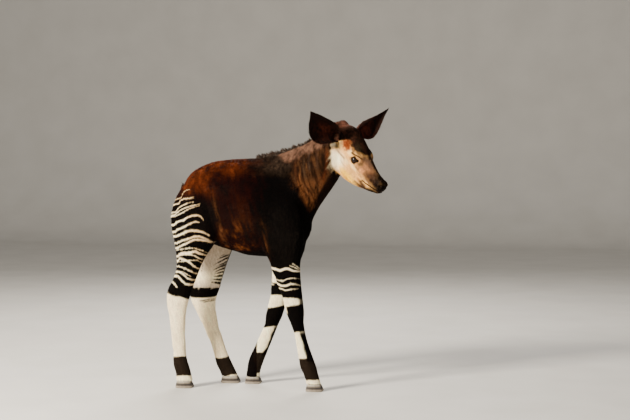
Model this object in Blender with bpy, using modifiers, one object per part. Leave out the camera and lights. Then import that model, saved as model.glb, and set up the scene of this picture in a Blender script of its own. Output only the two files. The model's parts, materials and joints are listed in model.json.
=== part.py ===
"""An okapi calf about two or three months old, life size, caught in mid stride.

Metres, +Z up. The calf faces +X, its left side is +Y, and its right side, -Y, is the one seen first.
The floor is z = 0. At the end the whole calf is moved so that the origin lies on the floor under
the middle of its bounding box.

The flesh is modelled whole: lofts for the trunk, neck, skull, jaw and legs, with rounded masses for
the muscles, are fused, smoothed and thinned, and thin cuts then part it into the nodes.
"""

import math

import bmesh
import bpy
import numpy as np
from mathutils import Matrix, Vector

# Driving dimensions
EAR_LENGTH = 0.192  # root to tip
EYE_RADIUS = 0.0195
HOOF_HEIGHT = 0.032
TRACK = 0.085  # each line of feet to the middle plane
NODE_GAP = 0.0003  # between nodes that meet

# How finely the flesh is fused, and how many faces are kept
FUSE_VOXEL = 0.0045
SMOOTH_ROUNDS = 40
HEAD_FACES = 3000
FOOT_FACES = 230  # each, from the fetlock down
TRUNK_FACES = 3320  # all the rest
FETLOCK_HEIGHT = 0.15
SEED = 7

# Trunk, sliced across X: x, top, widest level, bottom, half width, how far the top is peaked
TRUNK = [
    (-0.318, 0.915, 0.865, 0.810, 0.020, 1.0),
    (-0.309, 0.955, 0.865, 0.765, 0.058, 1.0),
    (-0.284, 0.996, 0.865, 0.725, 0.088, 1.0),
    (-0.240, 1.028, 0.870, 0.690, 0.113, 1.1),
    (-0.170, 1.055, 0.870, 0.662, 0.127, 1.15),
    (-0.090, 1.066, 0.860, 0.637, 0.141, 1.15),
    (0.000, 1.071, 0.850, 0.620, 0.149, 1.2),
    (0.055, 1.074, 0.840, 0.616, 0.147, 1.35),
    (0.110, 1.086, 0.830, 0.614, 0.138, 1.5),
    (0.165, 1.086, 0.830, 0.616, 0.126, 1.5),
    (0.215, 1.050, 0.830, 0.632, 0.111, 1.3),
    (0.258, 0.985, 0.820, 0.665, 0.088, 1.0),
    (0.288, 0.900, 0.800, 0.712, 0.057, 1.0),
    (0.301, 0.835, 0.785, 0.745, 0.022, 1.0),
]
# Neck, each slice from the nape to the throat: nape x, nape z, throat x, throat z, y, half width
NECK = [
    (0.070, 1.050, 0.262, 0.700, 0.000, 0.070),
    (0.107, 1.077, 0.285, 0.735, 0.000, 0.101),
    (0.165, 1.099, 0.306, 0.790, 0.000, 0.097),
    (0.218, 1.118, 0.335, 0.846, 0.000, 0.086),
    (0.265, 1.138, 0.370, 0.897, -0.002, 0.076),
    (0.313, 1.166, 0.405, 0.949, -0.008, 0.067),
    (0.358, 1.192, 0.436, 0.998, -0.015, 0.060),
    (0.400, 1.218, 0.462, 1.050, -0.022, 0.052),
    (0.430, 1.236, 0.480, 1.105, -0.028, 0.044),
]
# Legs, sliced level: z, rear x, front x, y, half width
FORE_RIGHT = [
    (1.020, 0.095, 0.150, -0.050, 0.020),
    (0.960, 0.068, 0.205, -0.066, 0.034),
    (0.890, 0.052, 0.250, -0.080, 0.042),
    (0.800, 0.048, 0.276, -0.088, 0.046),
    (0.720, 0.060, 0.281, -0.090, 0.048),
    (0.650, 0.090, 0.272, -0.088, 0.047),
    (0.600, 0.113, 0.260, -0.086, 0.043),
    (0.550, 0.128, 0.257, -0.085, 0.039),
    (0.490, 0.146, 0.261, -0.084, 0.035),
    (0.430, 0.170, 0.267, -0.083, 0.033),
    (0.366, 0.185, 0.274, -0.083, 0.034),
    (0.315, 0.206, 0.273, -0.083, 0.029),
    (0.262, 0.226, 0.281, -0.084, 0.024),
    (0.200, 0.237, 0.300, -0.085, 0.022),
    (0.145, 0.247, 0.320, -0.085, 0.026),
    (0.110, 0.253, 0.332, -0.085, 0.028),
    (0.078, 0.268, 0.341, -0.085, 0.026),
    (0.050, 0.278, 0.348, -0.085, 0.029),
    (0.028, 0.282, 0.354, -0.085, 0.031),
    (0.010, 0.290, 0.346, -0.085, 0.026),
]
FORE_LEFT = [
    (1.020, 0.080, 0.140, 0.050, 0.020),
    (0.960, 0.055, 0.190, 0.066, 0.034),
    (0.890, 0.042, 0.235, 0.080, 0.042),
    (0.800, 0.040, 0.262, 0.088, 0.046),
    (0.720, 0.052, 0.268, 0.090, 0.048),
    (0.650, 0.075, 0.255, 0.088, 0.047),
    (0.600, 0.088, 0.236, 0.086, 0.043),
    (0.550, 0.092, 0.216, 0.085, 0.039),
    (0.490, 0.090, 0.196, 0.084, 0.035),
    (0.430, 0.084, 0.174, 0.083, 0.033),
    (0.366, 0.068, 0.154, 0.083, 0.034),
    (0.325, 0.058, 0.142, 0.083, 0.031),
    (0.280, 0.052, 0.121, 0.083, 0.026),
    (0.220, 0.025, 0.097, 0.084, 0.022),
    (0.160, -0.003, 0.072, 0.085, 0.024),
    (0.125, -0.020, 0.058, 0.085, 0.028),
    (0.090, -0.030, 0.044, 0.085, 0.027),
    (0.058, -0.034, 0.034, 0.085, 0.028),
    (0.030, -0.038, 0.032, 0.085, 0.031),
    (0.010, -0.028, 0.024, 0.085, 0.026),
]
HIND_RIGHT = [
    (0.990, -0.265, -0.175, -0.050, 0.030),
    (0.940, -0.308, -0.140, -0.062, 0.050),
    (0.880, -0.342, -0.120, -0.068, 0.062),
    (0.810, -0.360, -0.112, -0.072, 0.068),
    (0.750, -0.358, -0.116, -0.075, 0.067),
    (0.700, -0.347, -0.130, -0.078, 0.060),
    (0.650, -0.338, -0.163, -0.080, 0.052),
    (0.600, -0.331, -0.197, -0.081, 0.044),
    (0.550, -0.334, -0.219, -0.082, 0.038),
    (0.500, -0.352, -0.237, -0.083, 0.034),
    (0.460, -0.374, -0.250, -0.084, 0.034),
    (0.425, -0.378, -0.261, -0.085, 0.033),
    (0.385, -0.371, -0.273, -0.085, 0.030),
    (0.335, -0.361, -0.281, -0.085, 0.027),
    (0.250, -0.354, -0.286, -0.085, 0.024),
    (0.165, -0.347, -0.285, -0.085, 0.024),
    (0.130, -0.350, -0.280, -0.085, 0.027),
    (0.100, -0.347, -0.270, -0.085, 0.029),
    (0.070, -0.338, -0.262, -0.085, 0.027),
    (0.045, -0.335, -0.256, -0.085, 0.029),
    (0.028, -0.334, -0.252, -0.085, 0.031),
    (0.010, -0.326, -0.262, -0.085, 0.026),
]
HIND_LEFT = [
    (0.990, -0.255, -0.160, 0.050, 0.030),
    (0.940, -0.296, -0.118, 0.062, 0.050),
    (0.880, -0.325, -0.092, 0.068, 0.062),
    (0.810, -0.342, -0.078, 0.072, 0.068),
    (0.750, -0.340, -0.072, 0.075, 0.067),
    (0.700, -0.330, -0.074, 0.078, 0.060),
    (0.650, -0.318, -0.090, 0.080, 0.052),
    (0.600, -0.308, -0.112, 0.081, 0.044),
    (0.550, -0.303, -0.131, 0.082, 0.038),
    (0.500, -0.305, -0.145, 0.083, 0.035),
    (0.455, -0.316, -0.156, 0.084, 0.034),
    (0.422, -0.314, -0.169, 0.085, 0.033),
    (0.385, -0.297, -0.177, 0.085, 0.030),
    (0.335, -0.271, -0.175, 0.085, 0.027),
    (0.250, -0.233, -0.160, 0.085, 0.024),
    (0.165, -0.203, -0.135, 0.085, 0.024),
    (0.125, -0.192, -0.119, 0.085, 0.027),
    (0.090, -0.184, -0.102, 0.085, 0.029),
    (0.062, -0.170, -0.088, 0.085, 0.027),
    (0.045, -0.162, -0.080, 0.085, 0.029),
    (0.028, -0.156, -0.074, 0.085, 0.031),
    (0.010, -0.146, -0.084, 0.085, 0.026),
]
# Hooves: rear x, front x of each pair of claws, y of the pair
HOOVES = {
    "fore_right": (0.282, 0.362, -TRACK),
    "fore_left": (-0.040, 0.038, TRACK),
    "hind_right": (-0.334, -0.252, -TRACK),
    "hind_left": (-0.156, -0.066, TRACK),
}
CLAW_HALF_WIDTH = 0.0150
CLAW_SPLIT = 0.0022  # half the cleft between the two claws

# Head frame: a runs from the crown to the nose, c to the calf's left, b up from the face
CROWN = Vector((0.443, -0.020, 1.241))
HEAD_PITCH = math.radians(50)
HEAD_YAW = math.radians(27)  # turned to the calf's right
FACE = Vector(
    (
        math.cos(HEAD_PITCH) * math.cos(HEAD_YAW),
        -math.cos(HEAD_PITCH) * math.sin(HEAD_YAW),
        -math.sin(HEAD_PITCH),
    )
)
LEFTWARD = Vector((math.sin(HEAD_YAW), math.cos(HEAD_YAW), 0))
UPWARD = FACE.cross(LEFTWARD)

# Skull and upper jaw, sliced across the face: a, top, widest level, bottom, half width
SKULL = [
    (-0.030, -0.040, -0.060, -0.085, 0.020),
    (-0.012, -0.014, -0.055, -0.100, 0.042),
    (0.020, 0.006, -0.050, -0.116, 0.052),
    (0.055, 0.028, -0.047, -0.122, 0.056),
    (0.085, 0.034, -0.045, -0.124, 0.057),
    (0.125, 0.034, -0.045, -0.124, 0.057),
    (0.165, 0.029, -0.045, -0.118, 0.054),
    (0.200, 0.021, -0.045, -0.112, 0.049),
    (0.235, 0.011, -0.045, -0.102, 0.043),
    (0.270, 0.004, -0.042, -0.088, 0.037),
    (0.310, -0.001, -0.036, -0.070, 0.033),
    (0.342, 0.001, -0.027, -0.052, 0.031),
    (0.364, -0.001, -0.023, -0.043, 0.029),
    (0.378, -0.008, -0.023, -0.038, 0.024),
    (0.386, -0.016, -0.025, -0.034, 0.012),
]
# Lower jaw, in the same way
JAW = [
    (0.100, -0.095, -0.118, -0.140, 0.020),
    (0.120, -0.090, -0.120, -0.152, 0.036),
    (0.160, -0.088, -0.122, -0.160, 0.042),
    (0.200, -0.082, -0.118, -0.156, 0.040),
    (0.240, -0.075, -0.107, -0.141, 0.035),
    (0.280, -0.066, -0.092, -0.121, 0.030),
    (0.320, -0.055, -0.075, -0.098, 0.026),
    (0.350, -0.046, -0.061, -0.078, 0.024),
    (0.370, -0.040, -0.051, -0.063, 0.020),
    (0.382, -0.040, -0.046, -0.052, 0.012),
]
# Rounded masses of the head, on both sides: centre a, c, b, then half sizes along a, c, b
HEAD_MASSES = [
    (0.199, 0.0435, -0.037, 0.0228, 0.0228, 0.0228),  # lids
    (0.199, 0.038, -0.034, 0.042, 0.0205, 0.033),  # orbit
    (0.188, 0.037, -0.011, 0.042, 0.019, 0.024),  # brow
    (0.158, 0.030, -0.094, 0.070, 0.022, 0.056),  # cheek
    (0.085, 0.026, 0.017, 0.020, 0.016, 0.013),  # horn bud
    (0.360, 0.018, -0.013, 0.020, 0.013, 0.014),  # wing of the nostril
]
MIDDLE_MASSES = [
    (0.016, 0.000, -0.003, 0.028, 0.026, 0.015),  # whorl of hair on the crown
    (0.366, 0.000, -0.055, 0.015, 0.017, 0.008),  # chin
    (0.373, 0.000, -0.019, 0.011, 0.019, 0.014),  # nose pad
]
EYE = (0.199, 0.0435, -0.037)  # centre, in a, c, b
EYE_FACETS = (16, 10)  # round and from pole to pole
LID_OPENING = (0.0158, 0.0108)  # half length and half height of the gap between the lids
LID_SLANT = math.radians(35)  # its front corner lies higher on the face
MOUTH_CORNER = (0.288, -0.0760)  # a, b
MOUTH_FRONT = (0.394, -0.0385)
MOUTH_SAG = 0.004  # how far its middle dips
MOUTH_GAP = 0.0022
MOUTH_DEPTH = 0.012
# The cut that opens the mouth line, from its front to its corner: share of its length, half width
MOUTH_CUT = [(1.05, 0.0), (0.92, 0.018), (0.75, 0.030), (0.5, 0.038), (0.25, 0.040), (0.0, 0.041)]
LIPS = [(0.0066, 0.0072), (-0.0072, 0.0066)]  # upper and lower: height over the mouth line, radius
# Middle of each lip: share of the mouth's length, distance from the middle plane
LIP_LINE = [(0.04, 0.0250), (0.3, 0.0245), (0.55, 0.0225), (0.78, 0.0165), (0.90, 0.0060)]
NOSTRIL = (0.372, 0.026, -0.018)  # a, c, b
NOSTRIL_SIZES = (0.0115, 0.0075, 0.0042)
NOSTRIL_TURNS = (math.radians(35), math.radians(-28))  # about UPWARD and about LEFTWARD

# Thin cuts that part the flesh: a point on each, and the way off the part that is kept
BEHIND_JAW = ((0.402, -0.015, 1.12), (-0.96, 0.24, -0.14))
NECK_ROOT = ((0.245, 0, 0.97), (-0.93, 0, -0.36))
FORE_TOP = ((0, 0, 0.604), (0, 0, 1))
HIND_TOP = ((-0.125, 0, 0.655), (0.50, 0, 0.87))
AHEAD_OF_HIND = ((-0.045, 0, 0.5), (1, 0, 0))
LEG_JOINTS = {
    "foreleg_right": ((0.23, 0, 0.318), (0.10, 0, 1)),
    "foreleg_left": ((0.10, 0, 0.318), (-0.35, 0, 1)),
    "hindleg_right": ((-0.31, 0, 0.425), (0.15, 0, 1)),
    "hindleg_left": ((-0.24, 0, 0.415), (-0.1, 0, 1)),
}

# Ears: root in the head frame, the way the ear points, the way its hollow faces, and how far its
# lower margin bellies out, in the calf's frame, and its breadth beside the common shape. One is
# laid back and the other pricked.
EARS = {
    "ear_right": ((0.046, -0.057, -0.040), (-0.425, -0.775, 0.440), (0.25, -0.75, -0.60), -0.027, 1.08),
    "ear_left": ((0.058, 0.050, -0.014), (0.84, 0.06, 0.55), (0.45, -0.86, -0.10), 0.032, 0.95),
}
# Along an ear: share of the length, half width, and half angle of its curl in degrees
EAR_SHAPE = [
    (-0.18, 0.0160, 172),
    (-0.08, 0.0180, 170),
    (0.02, 0.0215, 160),
    (0.11, 0.0300, 132),
    (0.21, 0.0425, 98),
    (0.32, 0.0500, 74),
    (0.45, 0.0470, 62),
    (0.60, 0.0380, 55),
    (0.75, 0.0265, 50),
    (0.88, 0.0140, 46),
    (0.96, 0.0062, 42),
    (1.00, 0.0022, 38),
]
EAR_WALL = 0.0036
EAR_COLUMNS = 9  # points across its cup

TAIL_ROUTE = [  # x, y, z, radius
    (-0.240, 0.002, 0.985, 0.020),
    (-0.280, 0.004, 0.962, 0.020),
    (-0.306, 0.008, 0.920, 0.018),
    (-0.325, 0.012, 0.868, 0.014),
    (-0.336, 0.016, 0.810, 0.011),
    (-0.337, 0.019, 0.750, 0.009),
    (-0.329, 0.021, 0.705, 0.0085),
]
TUFT_LOCKS = 12
TUFT_LENGTH = 0.092
TUFT_SPREAD = 0.055  # over how much of the tail the locks start

# The short upright mane, as places along the top line: x, z of the skin
MANE_LINE = [
    (0.352, 1.190),
    (0.310, 1.165),
    (0.262, 1.138),
    (0.215, 1.117),
    (0.163, 1.098),
    (0.110, 1.084),
    (0.055, 1.073),
    (0.000, 1.069),
    (-0.045, 1.067),
]
MANE_LOCKS = 40
MANE_LENGTH = 0.024
MANE_LOCK_WIDTH = 0.019
TUFT_LOCK_WIDTH = 0.013
# Along a lock of hair: share of its length, the start sunk in, and share of its width
LOCK_TAPER = [(-0.3, 0.8), (0.15, 1.0), (0.65, 0.78), (1.0, 0.12)]


def clear_scene():
    for old in list(bpy.data.objects):
        bpy.data.objects.remove(old)


def collection(name):
    made = bpy.data.collections.new(name)
    bpy.context.scene.collection.children.link(made)
    return made


def in_head(a, c, b):
    """A place given in the head frame, in the calf's frame."""
    return CROWN + FACE * a + LEFTWARD * c + UPWARD * b


def smooth_rows(rows, steps):
    """The same rows with more between them, on a Catmull-Rom curve through each column."""
    rows = np.array(rows, float)
    ends = np.vstack([2 * rows[0] - rows[1], rows, 2 * rows[-1] - rows[-2]])
    made = []
    for i in range(1, len(ends) - 2):
        p0, p1, p2, p3 = ends[i - 1 : i + 3]
        for t in np.arange(steps) / steps:
            made.append(
                0.5
                * (
                    2 * p1
                    + (p2 - p0) * t
                    + (2 * p0 - 5 * p1 + 4 * p2 - p3) * t**2
                    + (3 * p1 - p0 - 3 * p2 + p3) * t**3
                )
            )
    return np.vstack([made, rows[-1]])


def ring(centre, side, up, half_width, rise, fall, peak=1.0, sides=56):
    """Points round an egg-shaped slice: half_width to each side, rise above the centre and fall below it."""
    points = []
    for i in range(sides):
        turn = 2 * math.pi * i / sides
        across, height = math.sin(turn), math.cos(turn)
        if height > 0:
            across = math.copysign(abs(across) ** peak, across)
        reach = rise if height > 0 else fall
        points.append(centre + side * (half_width * across) + up * (reach * height))
    return points


def mesh_from_rings(rings):
    """A closed skin over rings of points, as a new mesh."""
    bm = bmesh.new()
    rows = [[bm.verts.new(p) for p in points] for points in rings]
    count = len(rows[0])
    for low, high in zip(rows, rows[1:]):
        for i in range(count):
            j = (i + 1) % count
            bm.faces.new((low[i], low[j], high[j], high[i]))
    bm.faces.new(rows[0])
    bm.faces.new(rows[-1])
    bmesh.ops.recalc_face_normals(bm, faces=bm.faces)
    if bm.calc_volume(signed=True) < 0:
        bmesh.ops.reverse_faces(bm, faces=bm.faces)
    mesh = bpy.data.meshes.new("loft")
    bm.to_mesh(mesh)
    bm.free()
    return mesh


def add(name, mesh, where):
    made = bpy.data.objects.new(name, mesh)
    where.objects.link(made)
    return made


def slice_loft(rows, steps, frame):
    """A loft from rows of along, top, level, bottom, half width and peak. frame is an origin and three axes."""
    origin, along, side, up = frame
    rings = []
    for row in smooth_rows(rows, steps):
        s, top, level, bottom, width = row[:5]
        peak = row[5] if len(row) > 5 else 1.0
        centre = origin + along * s + up * level
        rings.append(ring(centre, side, up, max(width, 0.002), top - level, level - bottom, peak))
    return mesh_from_rings(rings)


def neck_loft():
    side = Vector((0, 1, 0))
    rings = []
    for nape_x, nape_z, throat_x, throat_z, y, width in smooth_rows(NECK, 4):
        nape = Vector((nape_x, y, nape_z))
        throat = Vector((throat_x, y, throat_z))
        half = (nape - throat) / 2
        middle, reach = (nape + throat) / 2, half.length
        rings.append(ring(middle, side, half.normalized(), width, reach, reach, 1.15))
    return mesh_from_rings(rings)


def leg_loft(rows):
    side, forward = Vector((0, 1, 0)), Vector((1, 0, 0))
    rings = []
    for z, rear, front, y, width in smooth_rows(rows, 3):
        half = (front - rear) / 2
        rings.append(ring(Vector(((front + rear) / 2, y, z)), side, forward, width, half, half, sides=24))
    return mesh_from_rings(rings)


def tube_loft(route, sides=10):
    """A round tube through places with a radius at each: rows of x, y, z, radius."""
    rows = smooth_rows(route, 4)
    rings = []
    for i, row in enumerate(rows):
        ahead = Vector(rows[min(i + 1, len(rows) - 1)][:3]) - Vector(rows[max(i - 1, 0)][:3])
        ahead.normalize()
        side = Vector((0, 1, 0)) - ahead * ahead.y
        side.normalize()
        up = ahead.cross(side)
        rings.append(ring(Vector(row[:3]), side, up, row[3], row[3], row[3], sides=sides))
    return mesh_from_rings(rings)


def ball(centre, axes, sizes, segments=16, rings=10):
    """A rounded mass with its own three half sizes along three axes."""
    bm = bmesh.new()
    bmesh.ops.create_uvsphere(bm, u_segments=segments, v_segments=rings, radius=1)
    turn = Matrix((axes[0] * sizes[0], axes[1] * sizes[1], axes[2] * sizes[2])).transposed()
    bmesh.ops.transform(bm, matrix=turn.to_4x4(), verts=bm.verts)
    bmesh.ops.translate(bm, vec=centre, verts=bm.verts)
    if turn.determinant() < 0:
        bmesh.ops.reverse_faces(bm, faces=bm.faces)
    mesh = bpy.data.meshes.new("mass")
    bm.to_mesh(mesh)
    bm.free()
    return mesh


def head_meshes():
    frame = (CROWN, FACE, LEFTWARD, UPWARD)
    axes = (FACE, LEFTWARD, UPWARD)
    meshes = [slice_loft(SKULL, 4, frame), slice_loft(JAW, 4, frame)]
    for a, c, b, *sizes in HEAD_MASSES:
        for hand in (-1, 1):
            meshes.append(ball(in_head(a, hand * c, b), axes, sizes))
    for a, c, b, *sizes in MIDDLE_MASSES:
        meshes.append(ball(in_head(a, c, b), axes, sizes))
    for lift, radius in LIPS:
        meshes.extend(lip_meshes(lift, radius))
    return meshes


def mouth_point(t, out=0.0, lift=0.0):
    """Along the line of the mouth, from its corner at t = 0 to its front at t = 1, on the calf's right."""
    a = MOUTH_CORNER[0] + (MOUTH_FRONT[0] - MOUTH_CORNER[0]) * t
    b = MOUTH_CORNER[1] + (MOUTH_FRONT[1] - MOUTH_CORNER[1]) * t
    b -= MOUTH_SAG * math.sin(math.pi * t)
    return a, out, b + lift


def lip_meshes(lift, radius):
    """The lips on both sides: a soft roll along the line of the mouth."""
    made = []
    for hand in (-1, 1):
        route = []
        for t, out in LIP_LINE:
            a, c, b = mouth_point(t, out * hand, lift)
            route.append((*in_head(a, c, b), radius * (0.75 + 0.25 * t)))
        made.append(tube_loft(route))
    return made


def flesh(helpers):
    """Trunk, neck, head and legs fused into one closed skin, smoothed and thinned."""
    world = (Vector((0, 0, 0)), Vector((1, 0, 0)), Vector((0, 1, 0)), Vector((0, 0, 1)))
    meshes = [slice_loft(TRUNK, 4, world), neck_loft()]
    meshes += [leg_loft(rows) for rows in (FORE_RIGHT, FORE_LEFT, HIND_RIGHT, HIND_LEFT)]
    meshes += head_meshes()
    bm = bmesh.new()
    for mesh in meshes:
        bm.from_mesh(mesh)
        bpy.data.meshes.remove(mesh)
    whole = bpy.data.meshes.new("flesh")
    bm.to_mesh(whole)
    bm.free()
    body = add("flesh", whole, helpers)
    fuse = body.modifiers.new("fuse", "REMESH")
    fuse.mode = "VOXEL"
    fuse.voxel_size = FUSE_VOXEL
    bake(body)
    soften(body)
    thin_out(body)
    return body


def bake(obj):
    """The object's mesh as its modifiers leave it."""
    graph = bpy.context.evaluated_depsgraph_get()
    made = bpy.data.meshes.new_from_object(obj.evaluated_get(graph))
    old = obj.data
    obj.modifiers.clear()
    obj.data = made
    bpy.data.meshes.remove(old)


def is_head(point):
    """How far a place belongs to the head, from 0 to 1."""
    away = Vector(point) - CROWN
    inside = (away.dot(FACE) + 0.03) / 0.05
    return max(0.0, min(1.0, inside)) if point[0] > 0.38 else 0.0


def weights(obj, name, rule):
    group = obj.vertex_groups.new(name=name)
    for vertex in obj.data.vertices:
        group.add([vertex.index], rule(vertex.co), "REPLACE")
    return group


def soften(body):
    """Blends the masses into one another, least on the head and feet."""
    weights(body, "soft", lambda p: max(0.15, min(1, (p.z - 0.45) / 0.2) - 0.72 * is_head(p)))
    smooth = body.modifiers.new("soften", "SMOOTH")
    smooth.factor = 0.5
    smooth.iterations = SMOOTH_ROUNDS
    smooth.vertex_group = "soft"
    bake(body)


def thin_out(body):
    """Keeps so many faces on the head, on the feet and on all the rest."""
    regions = {
        "head": (lambda p: is_head(p) > 0.5, HEAD_FACES),
        "feet": (lambda p: p.z < FETLOCK_HEIGHT, 4 * FOOT_FACES),
        "trunk": (lambda p: p.z >= FETLOCK_HEIGHT and is_head(p) <= 0.5, TRUNK_FACES),
    }
    for name, (belongs, kept) in regions.items():
        weights(body, name, lambda p: 1.0 if belongs(p) else 0.0)
        inside = sum(belongs(face.center) * (face.loop_total - 2) for face in body.data.polygons)
        total = sum(face.loop_total - 2 for face in body.data.polygons)
        fewer = body.modifiers.new("fewer", "DECIMATE")
        fewer.ratio = (total - inside + kept) / total
        fewer.vertex_group = name
        fewer.vertex_group_factor = 1000
        fewer.use_collapse_triangulate = True
        bake(body)


def cut_by(obj, cutter):
    cut = obj.modifiers.new("cut", "BOOLEAN")
    cut.operation = "DIFFERENCE"
    cut.solver = "EXACT"
    cut.object = cutter
    bake(obj)


def swollen(obj, where):
    """A copy that stands NODE_GAP proud all over, to cut a neighbour's face."""
    copy = add(obj.name + "_swollen", obj.data.copy(), where)
    swell = copy.modifiers.new("swell", "DISPLACE")
    swell.strength = NODE_GAP
    swell.mid_level = 0
    bake(copy)
    return copy


def keep_largest(obj):
    """Keeps only the largest closed surface of the mesh."""
    bm = bmesh.new()
    bm.from_mesh(obj.data)
    left = set(bm.verts)
    parts = []
    while left:
        todo = [left.pop()]
        found = set(todo)
        while todo:
            for edge in todo.pop().link_edges:
                for vertex in edge.verts:
                    if vertex in left:
                        left.discard(vertex)
                        found.add(vertex)
                        todo.append(vertex)
        parts.append(found)
    parts.sort(key=len, reverse=True)
    extra = [v for part in parts[1:] for v in part]
    bmesh.ops.delete(bm, geom=extra, context="VERTS")
    bm.to_mesh(obj.data)
    bm.free()


def cut_head(body, helpers):
    """Opens the mouth line, nostrils and the gaps between the lids."""
    axes = (FACE, LEFTWARD, UPWARD)
    for hand in (-1, 1):
        a, c, b = EYE
        socket = ball(in_head(a, hand * c, b), axes, [EYE_RADIUS + 2 * NODE_GAP] * 3, *EYE_FACETS)
        cut_by(body, add("socket", socket, helpers))
        long, high = LID_OPENING
        slant = Matrix.Rotation(-LID_SLANT, 3, LEFTWARD)
        lid_axes = [slant @ axis for axis in axes]
        gap = ball(in_head(a, hand * (c + 0.022), b), lid_axes, (long, 0.018, high), 16, 8)
        cut_by(body, add("lid_gap", gap, helpers))
        turn, tip = NOSTRIL_TURNS
        tilt = Matrix.Rotation(hand * turn, 3, UPWARD) @ Matrix.Rotation(tip, 3, LEFTWARD)
        a, c, b = NOSTRIL
        hole = ball(in_head(a, hand * c, b), [tilt @ axis for axis in axes], NOSTRIL_SIZES, 12, 8)
        cut_by(body, add("nostril", hole, helpers))
    right_to_left = [(t, -out) for t, out in MOUTH_CUT[::-1]] + MOUTH_CUT[1:]
    outline = [mouth_point(t, out) for t, out in right_to_left]
    inner = [mouth_point(t, math.copysign(max(abs(out) - MOUTH_DEPTH, 0), out)) for t, out in right_to_left]
    cut_by(body, add("mouth_line", slot_mesh(outline, inner, MOUTH_GAP), helpers))


def slot_mesh(outer, inner, height):
    """A thin band that follows the mouth round the muzzle, a little inside and outside its skin."""
    rings = []
    for (a, c, b), (ia, ic, ib) in zip(outer, inner):
        if (a, c, b) == (ia, ic, ib):
            ia = a - MOUTH_DEPTH
        lift = UPWARD * (height / 2)
        out_point, in_point = in_head(a, c, b), in_head(ia, ic, ib)
        rings.append([out_point + lift, in_point + lift * 0.3, in_point - lift * 0.3, out_point - lift])
    return mesh_from_rings(rings)


def carve(body, name, planes, where):
    """The part of the flesh on the inner side of each plane, kept half of NODE_GAP off it."""
    bm = bmesh.new()
    bm.from_mesh(body.data)
    for point, normal in planes:
        normal = Vector(normal).normalized()
        on_plane = Vector(point) - normal * (NODE_GAP / 2)
        geometry = list(bm.verts) + list(bm.edges) + list(bm.faces)
        cut = bmesh.ops.bisect_plane(
            bm, geom=geometry, dist=1e-6, plane_co=on_plane, plane_no=normal, clear_outer=True
        )
        rim = [e for e in cut["geom_cut"] if isinstance(e, bmesh.types.BMEdge) and e.is_boundary]
        if rim:
            bmesh.ops.triangle_fill(bm, use_beauty=True, use_dissolve=False, edges=rim)
    bmesh.ops.recalc_face_normals(bm, faces=bm.faces)
    bmesh.ops.triangulate(bm, faces=bm.faces)
    mesh = bpy.data.meshes.new(name)
    bm.to_mesh(mesh)
    bm.free()
    made = add(name, mesh, where)
    keep_largest(made)
    return made


def flip(plane):
    return (plane[0], tuple(-n for n in plane[1]))


def flesh_nodes(body, model):
    """Parts the flesh with thin cuts into the trunk, neck, head and each half of a leg."""
    nodes = {
        "head": [BEHIND_JAW],
        "neck": [flip(BEHIND_JAW), NECK_ROOT],
        "torso": [flip(NECK_ROOT), flip(FORE_TOP), flip(HIND_TOP)],
    }
    for name, joint in LEG_JOINTS.items():
        fore = name.startswith("fore")
        planes = [FORE_TOP, flip(AHEAD_OF_HIND)] if fore else [HIND_TOP, AHEAD_OF_HIND]
        planes.append(((0, 0, 0), (0, 1 if name.endswith("right") else -1, 0)))
        nodes[name + "_upper"] = [*planes, flip(joint)]
        nodes[name + "_lower"] = [*planes, joint, ((0, 0, HOOF_HEIGHT), (0, 0, -1))]
    return {name: carve(body, name, planes, model) for name, planes in nodes.items()}


def ear_mesh(root, points_to, faces_to, belly, breadth):
    """A leaf-shaped cup, rolled shut at its root, as an open surface."""
    along = Vector(points_to).normalized()
    hollow = Vector(faces_to)
    hollow = (hollow - along * hollow.dot(along)).normalized()
    side = along.cross(hollow)
    bm = bmesh.new()
    rows = []
    for share, half_width, curl in smooth_rows(EAR_SHAPE, 1):
        curl = math.radians(curl)
        half_width *= breadth
        radius = half_width / math.sin(min(curl, math.pi / 2))
        bend = -0.022 * share**2 - radius * 0.25
        sag = belly * 3.1 * max(share, 0) * (1 - share) ** 1.3
        base = in_head(*root) + along * (share * EAR_LENGTH) + hollow * bend + side * sag
        row = []
        for i in range(EAR_COLUMNS):
            turn = curl * (2 * i / (EAR_COLUMNS - 1) - 1)
            place = base + side * (radius * math.sin(turn)) + hollow * (radius * (1 - math.cos(turn)))
            row.append(bm.verts.new(place))
        rows.append(row)
    for low, high in zip(rows, rows[1:]):
        for i in range(EAR_COLUMNS - 1):
            bm.faces.new((low[i], high[i], high[i + 1], low[i + 1]))
    mesh = bpy.data.meshes.new("ear")
    bm.to_mesh(mesh)
    bm.free()
    return mesh


def ears(head, model, helpers):
    for name, shape in EARS.items():
        ear = add(name, ear_mesh(*shape), model)
        wall = ear.modifiers.new("wall", "SOLIDIFY")
        wall.thickness = EAR_WALL
        wall.offset = 0
        bake(ear)
        cut_by(ear, swollen(head, helpers))
        keep_largest(ear)


def eyes(model):
    a, c, b = EYE
    for name, hand in (("eye_right", -1), ("eye_left", 1)):
        mesh = ball(in_head(a, hand * c, b), (FACE, LEFTWARD, UPWARD), [EYE_RADIUS] * 3, *EYE_FACETS)
        add(name, mesh, model)


def claw_mesh(rear, front, y, inner):
    """One claw: flat below, rounded behind, drawn to a blunt point in front. inner is the way to its twin."""
    centre_y = y + inner * -(CLAW_HALF_WIDTH + CLAW_SPLIT)
    rings = []
    for z, pull in ((0.0, 0.004), (0.004, 0.0), (0.016, 0.005), (HOOF_HEIGHT - NODE_GAP / 2, 0.013)):
        points = []
        low, high = rear + pull * 0.5, front - pull
        for i in range(14):
            turn = 2 * math.pi * i / 14
            forward = math.cos(turn)
            reach = (low + high) / 2 + (high - low) / 2 * forward
            narrow = 1 - 0.42 * max(0.0, forward) ** 2
            points.append(Vector((reach, centre_y + CLAW_HALF_WIDTH * narrow * math.sin(turn), z)))
        rings.append(points)
    return mesh_from_rings(rings)


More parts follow.
